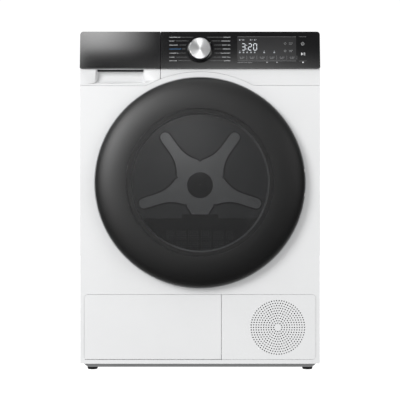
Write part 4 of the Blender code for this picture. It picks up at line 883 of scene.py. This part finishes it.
def make_strip():
    """The white strip over the door, and the drawer's part of it with the finger recess."""
    sheet = slab("strip", [strip_loop(STRIP_X, HALF)], "Y", Y_FRONT, Y_FRONT + 0.0024, WHITE_PLASTIC, 0.0005)
    fold = block("fold", (HALF - 0.0012, Y_FRONT + 0.0004, STRIP_LOW), (HALF, FRONT_HIGH.y, STRIP_HIGH),
                 WHITE_PLASTIC, 0.0003)
    stands_for(joined("FrontStrip", [sheet, fold]), "fascia_strip")

    x1, back = TANK_HIGH.x, box("tank_front")[1].y
    recess = (-HALF + RECESS_INSET, -HALF + RECESS_INSET + RECESS_WIDTH)
    bottom, top = STRIP_LOW + 0.0054, STRIP_HIGH - 0.0012
    sheet = slab("front", [strip_loop(-HALF, x1)], "Y", Y_FRONT, Y_FRONT + 0.0024, WHITE_PLASTIC, 0.0005)
    fold = block("fold", (-HALF, Y_FRONT + 0.0004, STRIP_LOW), (-HALF + 0.0012, FRONT_HIGH.y, STRIP_HIGH),
                 WHITE_PLASTIC, 0.0003)
    pod = block("pod", (recess[0] - 0.003, Y_FRONT + 0.0008, bottom - 0.002),
                (recess[1] + 0.003, back, STRIP_HIGH - 0.0002), WHITE_PLASTIC)
    front = cut(sheet, fold, pod, operation="UNION")
    scoop = recess_tool(recess, bottom, top)
    front = cut(front, scoop)
    # Painted shadow: a near-black block under the recess's top edge stands for the shade in the finger slot
    lip = block("lip", (recess[0] + 0.010, Y_FRONT + 0.012, STRIP_HIGH - 0.0056),
                (recess[1] - 0.010, Y_FRONT + 0.0185, STRIP_HIGH - 0.0008), PAINTED_SHADE)
    stands_for(joined("TankFront", [front, lip]), "tank_front")


def recess_tool(span, bottom, top):
    """The finger recess: a scoop that is deepest under its top edge, with leaning ends."""
    shape = bmesh.new()
    depth = 0.0195
    rows = []
    samples = 14
    for step in range(samples + 1):
        part = step / samples
        turn = math.pi / 2 * part
        y = Y_FRONT + depth * math.sin(turn)
        z = bottom + (top - 0.010 - bottom) * (1 - math.cos(turn))
        rows.append((y, z))
    rows.append((Y_FRONT + depth, top))
    front, back = [], []
    profile = [(Y_FRONT - 0.01, bottom)] + rows + [(Y_FRONT - 0.01, top)]
    for x, side in ((span[0], 1), (span[1], -1)):
        ring = []
        for y, z in profile:
            inward = 0.0035 + 0.45 * max(0, y - Y_FRONT)
            ring.append(shape.verts.new((x + side * inward, y, z)))
        (front if side > 0 else back).extend(ring)
    count = len(profile)
    for step in range(count):
        nxt = (step + 1) % count
        shape.faces.new((front[step], front[nxt], back[nxt], back[step]))
    shape.faces.new(front)
    shape.faces.new(back[::-1])
    # The scoop carries the recess's painted shade
    return from_shape("scoop", shape, SCOOP_SHADE)


def make_kick():
    """The service flap and the vent panel with its rings of round holes."""
    low, high = FLAP_LOW.z, FLAP_HIGH.z
    radius = KICK_CORNER - 0.0011
    depth = VENT_HIGH.y
    plate = slab("flap", [rounded((FLAP_LOW.x, low), (FLAP_HIGH.x, high),
                                  (FLAP_CORNER, 0.001, 0.001, radius), 12)],
                 "Y", Y_FRONT, depth, WHITE, 0.0005)
    rim = slab("rim", [rounded((FLAP_LOW.x + 0.004, low + 0.014), (FLAP_HIGH.x - 0.004, high - 0.004),
                               (radius - 0.004,) * 4),
                       rounded((FLAP_LOW.x + 0.0065, low + 0.0165), (FLAP_HIGH.x - 0.0065, high - 0.0065),
                               (radius - 0.005,) * 4)], "Y", depth - 0.0002, depth + 0.003, WHITE)
    pivot_y, pivot_z = depth, low + PIVOT_RISE
    lugs = []
    for x in (FLAP_LOW.x + 0.012, FLAP_HIGH.x - 0.018):
        lug = [(Y_FRONT + 0.002, pivot_z - 0.003), (pivot_y, pivot_z - 0.003)]
        lug += arc((pivot_y, pivot_z), 0.003, -math.pi / 2, math.pi / 4, 8)
        lug += [(Y_FRONT + 0.002, pivot_z + 0.015)]
        lugs.append(slab("lug", [lug], "X", x, x + 0.006, WHITE))
    stands_for(joined("ServiceFlap", [plate, rim, *lugs]), "service_flap")

    centre = (VENT_HIGH.x - VENT_INSET, VENT_HEIGHT)
    holes = []
    for ring in range(VENT_RINGS):
        distance = VENT_FIRST + VENT_PITCH * ring
        for place in arc(centre, distance, 0, 2 * math.pi, 6 * (ring + 2))[:-1]:
            holes.append(circle(place, VENT_HOLE, 10))
    outline = rounded((VENT_LOW.x, VENT_LOW.z), (VENT_HIGH.x, VENT_HIGH.z), (0.001, radius, radius, 0.001),
                      12)
    vent = slab("VentPanel", [outline, *holes], "Y", Y_FRONT, depth, WHITE, 0.0003)
    stands_for(vent, "vent_panel")
    # Painted shade: a near-black disc just behind the vent's holes stands for the shade seen through them
    shade = lathe("VentShadeDisc", [(0, depth + 0.0006), (0.071, depth + 0.0006), (0.071, depth + 0.0014),
                                  (0, depth + 0.0014)], PAINTED_SHADE, along_y(centre[1], centre[0]), 64)
    extra(shade, "cabinet")

    back, reach = depth + 0.0003, 0.0022
    sides = (FLAP_LOW.x - SEAM, (FLAP_HIGH.x + VENT_LOW.x) / 2, VENT_HIGH.x + SEAM)
    returns = [block("return", (x - reach, back, KICK_LOW + 0.012), (x + reach, back + 0.001, high + reach),
                     WHITE) for x in sides]
    returns.append(block("return", (sides[0], back, high - reach / 2), (sides[2], back + 0.001, high + reach),
                         WHITE))
    extra(joined("KickReturns", returns), "cabinet")


def make_shell():
    """Side sheets with screws near their back edge, and the top with its soft edge."""
    for node, name, sign in (("side_panel_left", "SideLeft", -1), ("side_panel_right", "SideRight", 1)):
        low, high = box(node)
        inner, outer = sorted((sign * HALF, sign * (HALF - 0.0012)))
        sheet = slab("sheet", [rounded((low.y, low.z), (high.y, high.z), (0.002,) * 4, 4)], "X", inner,
                     outer, SIDE_WHITE, 0.0004)
        pieces = [sheet]
        for y, z in ((high.y - 0.0055, 0.12), (high.y - 0.0055, 0.45), (high.y - 0.0055, 0.76)):
            pieces.append(side_screw(sign, y, z))
        stands_for(joined(name, pieces), node)
    low, high = box("top_panel")
    lift = 0.0045
    section = [(low.y + 0.0003, low.z), (high.y - 0.004, low.z), (high.y, low.z + 0.003),
               (high.y, high.z - lift)]
    section += arc((high.y - lift, high.z - lift), lift, 0, math.pi / 2, 6)[1:]
    section += [(low.y + 0.0003, high.z)]
    worktop = slab("TopPanel", [section], "X", -HALF, HALF, WHITE, 0.0022)
    stands_for(worktop, "top_panel")


def side_screw(sign, y, z):
    head = lathe("screw", [(0, 0), (0.0045, 0), (0.0045, 0.0004), (0.003, 0.0010), (0, 0.0012)],
                 BRUSHED, Matrix.Translation((sign * (HALF - 0.0012), y, z))
                 @ Matrix.Rotation(sign * math.pi / 2, 4, "Y"), 20)
    return head


def make_plinth():
    """The grey base tray, sloping in towards the feet under the sheets and open at the top."""
    slope, proud, wall = 0.0073, 0.0023, 0.003
    floor = box("evaporator_coil")[0].z - 0.0003
    skirt = FRONT_LOW.z
    levels = [(BASE_LOW.z, slope), (skirt - 0.0006, -proud), (skirt + 0.0002, -proud),
              (skirt + 0.0006, 0), (BASE_HIGH.z, 0), (BASE_HIGH.z, wall), (floor, wall)]
    shape = bmesh.new()
    rings = []
    for z, inset in levels:
        loop = rounded((BASE_LOW.x + inset, BASE_LOW.y + inset),
                       (BASE_HIGH.x - inset, BASE_HIGH.y - max(inset, 0)), (0.004,) * 4, 5)
        rings.append([shape.verts.new((x, y, z)) for x, y in loop])
    count = len(rings[0])
    for low, high in zip(rings, rings[1:]):
        for step in range(count):
            turn = (step + 1) % count
            shape.faces.new((low[step], low[turn], high[turn], high[step]))
    shape.faces.new(rings[0][::-1])
    shape.faces.new(rings[-1])
    tray = from_shape("BaseTray", shape, PLINTH)
    drops = [block("drop", (BASE_LOW.x + 0.001, BASE_LOW.y - 0.01, KICK_LOW - 0.006),
                   (BASE_HIGH.x - 0.001, BASE_LOW.y + 0.006, BASE_HIGH.z + 0.01), PLINTH)]
    for node in ("foot_front_left", "foot_front_right", "foot_rear_left", "foot_rear_right"):
        low, high = box(node)
        middle = (low + high) / 2
        drops.append(lathe("hole", [(0, 0), (0.0056, 0), (0.0056, 0.05), (0, 0.05)], PLINTH,
                           Matrix.Translation((middle.x, middle.y, 0)), 24))
    stands_for(cut(tray, *drops), "base_tray")


def make_feet():
    """Threaded studs on round pads."""
    for node in ("foot_front_left", "foot_front_right", "foot_rear_left", "foot_rear_right"):
        low, high = box(node)
        x, y = (low.x + high.x) / 2, (low.y + high.y) / 2
        radius = (high.x - low.x) / 2
        profile = [(0, low.z), (radius - 0.002, low.z), (radius, low.z + 0.0015),
                   (radius, low.z + 0.0075), (radius - 0.002, low.z + 0.009), (0.007, low.z + 0.0095)]
        z = low.z + 0.0098
        while z < high.z - 0.0016:
            profile += [(0.0050, z), (0.0044, z + 0.0006)]
            z += 0.0012
        profile += [(0.005, high.z - 0.001), (0.004, high.z), (0, high.z)]
        name = "Foot_" + node[5:]
        foot = lathe(name, profile, RUBBER, Matrix.Translation((x, y, 0)), 40)
        stands_for(foot, node)


def make_back():
    """The rear sheet's vents, ribs and screws, and its label."""
    y = box("rear_panel")[1].y
    pieces = []
    for x in (-HALF + 0.012, HALF - 0.012):
        for z in (0.07, 0.25, 0.45, 0.65, TOP - 0.035):
            pieces.append(screw("screw", (abs(x), z), 0 if x > 0 else math.pi, y, 1))
    for x in (-0.18, 0, 0.18):
        pieces.append(screw("screw", (abs(x), TOP - 0.032), 0 if x >= 0 else math.pi, y, 1))
    extra(joined("RearScrews", pieces), "cabinet")
    ribs = []
    for x in (-0.235, 0.235):
        ribs.append(block("rib", (x - 0.006, y - 0.0002, 0.12), (x + 0.006, y + 0.0016, 0.70), SHEET_STEEL,
                          0.0009))
    for index in range(9):
        z = 0.095 + 0.011 * index
        ribs.append(block("louvre", (-0.20, y - 0.0002, z), (-0.10, y + 0.0014, z + 0.0045), SHEET_STEEL,
                          0.0009))
    extra(joined("RearRibs", ribs), "cabinet")
    stick = rounded((0.205, 0.715), (0.275, 0.760), (0.002,) * 4, 4)
    extra(slab("RearLabel", [stick], "Y", y + 0.0001, y + 0.0004, LABEL), "cabinet")
    bars = [bar(0.211 + shift, 0.211 + shift + wide, 0.722, 0.738)
            for shift, wide in ((0, 0.002), (0.004, 0.001), (0.007, 0.003), (0.012, 0.001), (0.015, 0.002),
                                (0.019, 0.003), (0.024, 0.001), (0.027, 0.002))]
    bars += [bar(0.211, 0.265, 0.742 + step, 0.7434 + step) for step in (0, 0.005, 0.010)]
    extra(slab("RearLabelPrint", bars, "Y", y + 0.0004, y + 0.0005, TRIM), "cabinet")


def make_tank_details():
    """The ring round the tank's neck and the ribs on its top."""
    low, high = box("water_tank")
    x = (low.x + high.x) / 2
    pieces = []
    for step in range(5):
        y = low.y + 0.06 + 0.055 * step
        pieces.append(block("rib", (low.x + 0.012, y, high.z - 0.0004), (high.x - 0.012, y + 0.004,
                                                                        high.z + 0.0006), CLEAR, 0.0003))
    ring = lathe("neck", [(0.0185, high.z - 0.0006), (0.0215, high.z - 0.0006), (0.0215, high.z + 0.0007),
                          (0.0185, high.z + 0.0007)], LIGHT, Matrix.Translation((x, high.y - 0.045, 0)), 48)
    extra(joined("TankRibs", pieces), "tank_drawer")
    extra(ring, "tank_drawer")


def make_filter_mesh():
    """The fine mesh in the lint filter's window."""
    low, high = box("lint_filter")
    y = low.y + 0.0008
    threads = []
    x = low.x + 0.012
    while x < high.x - 0.012:
        threads.append(bar(x, x + 0.0006, low.z + 0.031, high.z - 0.038))
        x += 0.0045
    z = low.z + 0.033
    while z < high.z - 0.040:
        threads.append(bar(low.x + 0.0105, high.x - 0.0105, z, z + 0.0006))
        z += 0.0045
    pieces = [slab("thread", [loop], "Y", y, y + 0.0004, GREY) for loop in threads]
    extra(joined("FilterMesh", pieces), "filter")


def make_wires():
    """A copper pipe from the compressor to the condenser coil."""
    low, high = box("compressor")
    x, y = (low.x + high.x) / 2, (low.y + high.y) / 2
    coil = box("condenser_coil")[1]
    points = [(x, y, high.z - 0.002), (x, y, high.z + 0.014), (x - 0.02, y + 0.01, high.z + 0.020),
              (x - 0.08, y + 0.02, high.z + 0.018), (coil.x + 0.020, y + 0.03, high.z - 0.004),
              (coil.x + 0.006, y + 0.035, high.z - 0.03), (coil.x + 0.001, y + 0.036, high.z - 0.036)]
    pipe = tube("CopperPipe", points, 0.0035, COPPER)
    extra(pipe, "cabinet")


def tube(name, points, radius, material):
    curve = bpy.data.curves.new(name, "CURVE")
    curve.dimensions = "3D"
    curve.bevel_depth = radius
    curve.bevel_resolution = 4
    curve.use_fill_caps = True
    spline = curve.splines.new("NURBS")
    spline.points.add(len(points) - 1)
    for point, co in zip(spline.points, points):
        point.co = (*co, 1)
    spline.use_endpoint_u = True
    spline.order_u = 4
    return made(name, mesh_of(curve), material)


# ---- Light and camera
AMBIENT = 0.58                  # of the soft light all round
GLOSS_AMBIENT = 0.03            # the same light, as it shows in glossy surfaces
BACKDROP = 1.05                 # and as the camera sees it
CAMERA_DISTANCE = 3.0           # in front of the front sheet
CAMERA_HEIGHT = 0.426
LENS = 108.9                    # millimetres, on a 36 millimetre sensor
SHEEN_DISTANCE = 4.0            # of the glossy-only panels
SHEEN_SPREAD = (CAMERA_DISTANCE + SHEEN_DISTANCE) / CAMERA_DISTANCE


def plane(name, width, height):
    shape = bmesh.new()
    bmesh.ops.create_grid(shape, x_segments=1, y_segments=1, size=0.5)
    bmesh.ops.scale(shape, vec=(width, height, 1), verts=shape.verts)
    mesh = bpy.data.meshes.new(name)
    shape.to_mesh(mesh)
    shape.free()
    return linked(name, mesh)


def emitter(name, matrix, width, height, strength):
    """A soft lamp panel, seen only in glossy surfaces: bright in its middle, fading to its edge."""
    obj = plane(name, width, height)
    obj.matrix_world = matrix
    material = bpy.data.materials.new(name)
    material.use_nodes = True
    tree = material.node_tree
    tree.nodes.clear()
    split = add(tree, "SeparateXYZ", {"Vector": add(tree, "TexCoord").outputs["Object"]})
    level = strength
    for axis, half in (("X", width / 2), ("Y", height / 2)):
        size = add(tree, "Math", {0: split.outputs[axis]})
        size.operation = "ABSOLUTE"
        fade = add(tree, "MapRange", {"Value": size.outputs[0], "From Min": half, "From Max": 0})
        fade.interpolation_type = "SMOOTHSTEP"
        both = add(tree, "Math", {0: fade.outputs["Result"], 1: level})
        both.operation = "MULTIPLY"
        level = both.outputs[0]
    glow = add(tree, "Emission", {"Strength": level})
    add(tree, "OutputMaterial", {"Surface": glow.outputs[0]})
    obj.data.materials.append(material)
    obj.visible_shadow = False
    obj.visible_diffuse = False


def lamp(name, place, target, size, watts):
    data = bpy.data.lights.new(name, "AREA")
    data.shape = "RECTANGLE"
    data.size, data.size_y = size
    data.energy = watts
    linked(name, data).matrix_world = facing(place, target, "-Z")


def facing(place, target, front="Z"):
    """A matrix at a place, with that axis towards the target."""
    toward = Vector(target) - Vector(place)
    return Matrix.Translation(place) @ toward.to_track_quat(front, "Y").to_matrix().to_4x4()


def make_studio():
    """A white floor and backdrop, and a soft overall light that glossy surfaces hardly show."""
    world = bpy.data.worlds.new("studio")
    world.use_nodes = True
    tree = world.node_tree
    path = add(tree, "LightPath")
    tone = (AMBIENT, AMBIENT, AMBIENT, 1)
    for ray, level in (("Is Glossy Ray", GLOSS_AMBIENT), ("Is Camera Ray", BACKDROP)):
        mix = add(tree, "Mix")
        mix.data_type = "RGBA"
        feed(tree, mix, {0: path.outputs[ray], 6: tone, 7: (level, level, level, 1)})
        tone = mix.outputs[2]
    feed(tree, tree.nodes["Background"], {"Color": tone})
    bpy.context.scene.world = world

    floor = plane("Floor", 12, 12)
    floor.location = (0, 0, -0.0005)
    finish = surface("pale_floor", (0.95, 0.95, 0.95), 0.9, mottle=0.004, scale=3,
                     Emission_Color=(1, 1, 1, 1), Emission_Strength=1.0)
    floor.data.materials.append(finish)
    floor.visible_glossy = False
    floor.visible_diffuse = False


def make_camera():
    data = bpy.data.cameras.new("Camera")
    data.sensor_width = 36
    data.lens = LENS
    data.dof.use_dof = False
    camera = linked("Camera", data)
    camera.location = (0, Y_FRONT - CAMERA_DISTANCE, CAMERA_HEIGHT)
    camera.rotation_euler = (math.pi / 2, 0, 0)
    bpy.context.scene.camera = camera


def make_lights():
    """Soft boxes: a large key at the upper left front, a fill at the right, and one over the top.

    Panels seen only in glossy surfaces give the control panel its soft sheen at the upper left
    and along its foot, and the door its broad one. A small lamp lights the drum."""
    lamp("Key", (-2.6, -3.4, 2.2), (0, 0, 0.40), (1.8, 1.8), 118)
    lamp("Fill", (2.2, -2.2, 1.2), (0, 0, 0.45), (1.4, 1.4), 9)
    lamp("Over", (0, -0.4, 2.9), (0, 0, 0.6), (2.0, 2.0), 14)
    lamp("DrumLamp", (-0.04, -0.16, 0.66), (-0.05, 0.24, 0.46), (0.10, 0.06), 0.4)
    away = Y_FRONT - SHEEN_DISTANCE
    for name, x, z, width, height, strength in (("SheenLeft", -0.64, 2.70, 0.84, 0.84, 12),
                                                ("SheenFoot", 0.20, 2.20, 1.80, 0.56, 6),
                                                ("SheenDoor", -2.9, 1.9, 2.4, 2.4, 12)):
        emitter(name, facing((x, away, z), (x / SHEEN_SPREAD, Y_FRONT, 0.80)), width, height, strength)


make_door()
make_drum()
make_control_panel()
make_knob()
for piece in make_programme_marks() + make_display():
    extra(piece, "cabinet")
make_front()
make_strip()
make_kick()
make_shell()
make_plinth()
make_feet()
make_back()
make_tank_details()
make_filter_mesh()
make_wires()
for finish, nodes in CARRIED.items():
    for node in nodes.split():
        mesh = frame["nodes"][node].data
        mesh.materials.clear()
        mesh.materials.append(finish)
make_studio()
make_lights()
make_camera()
bpy.context.scene.view_settings.view_transform = "Standard"
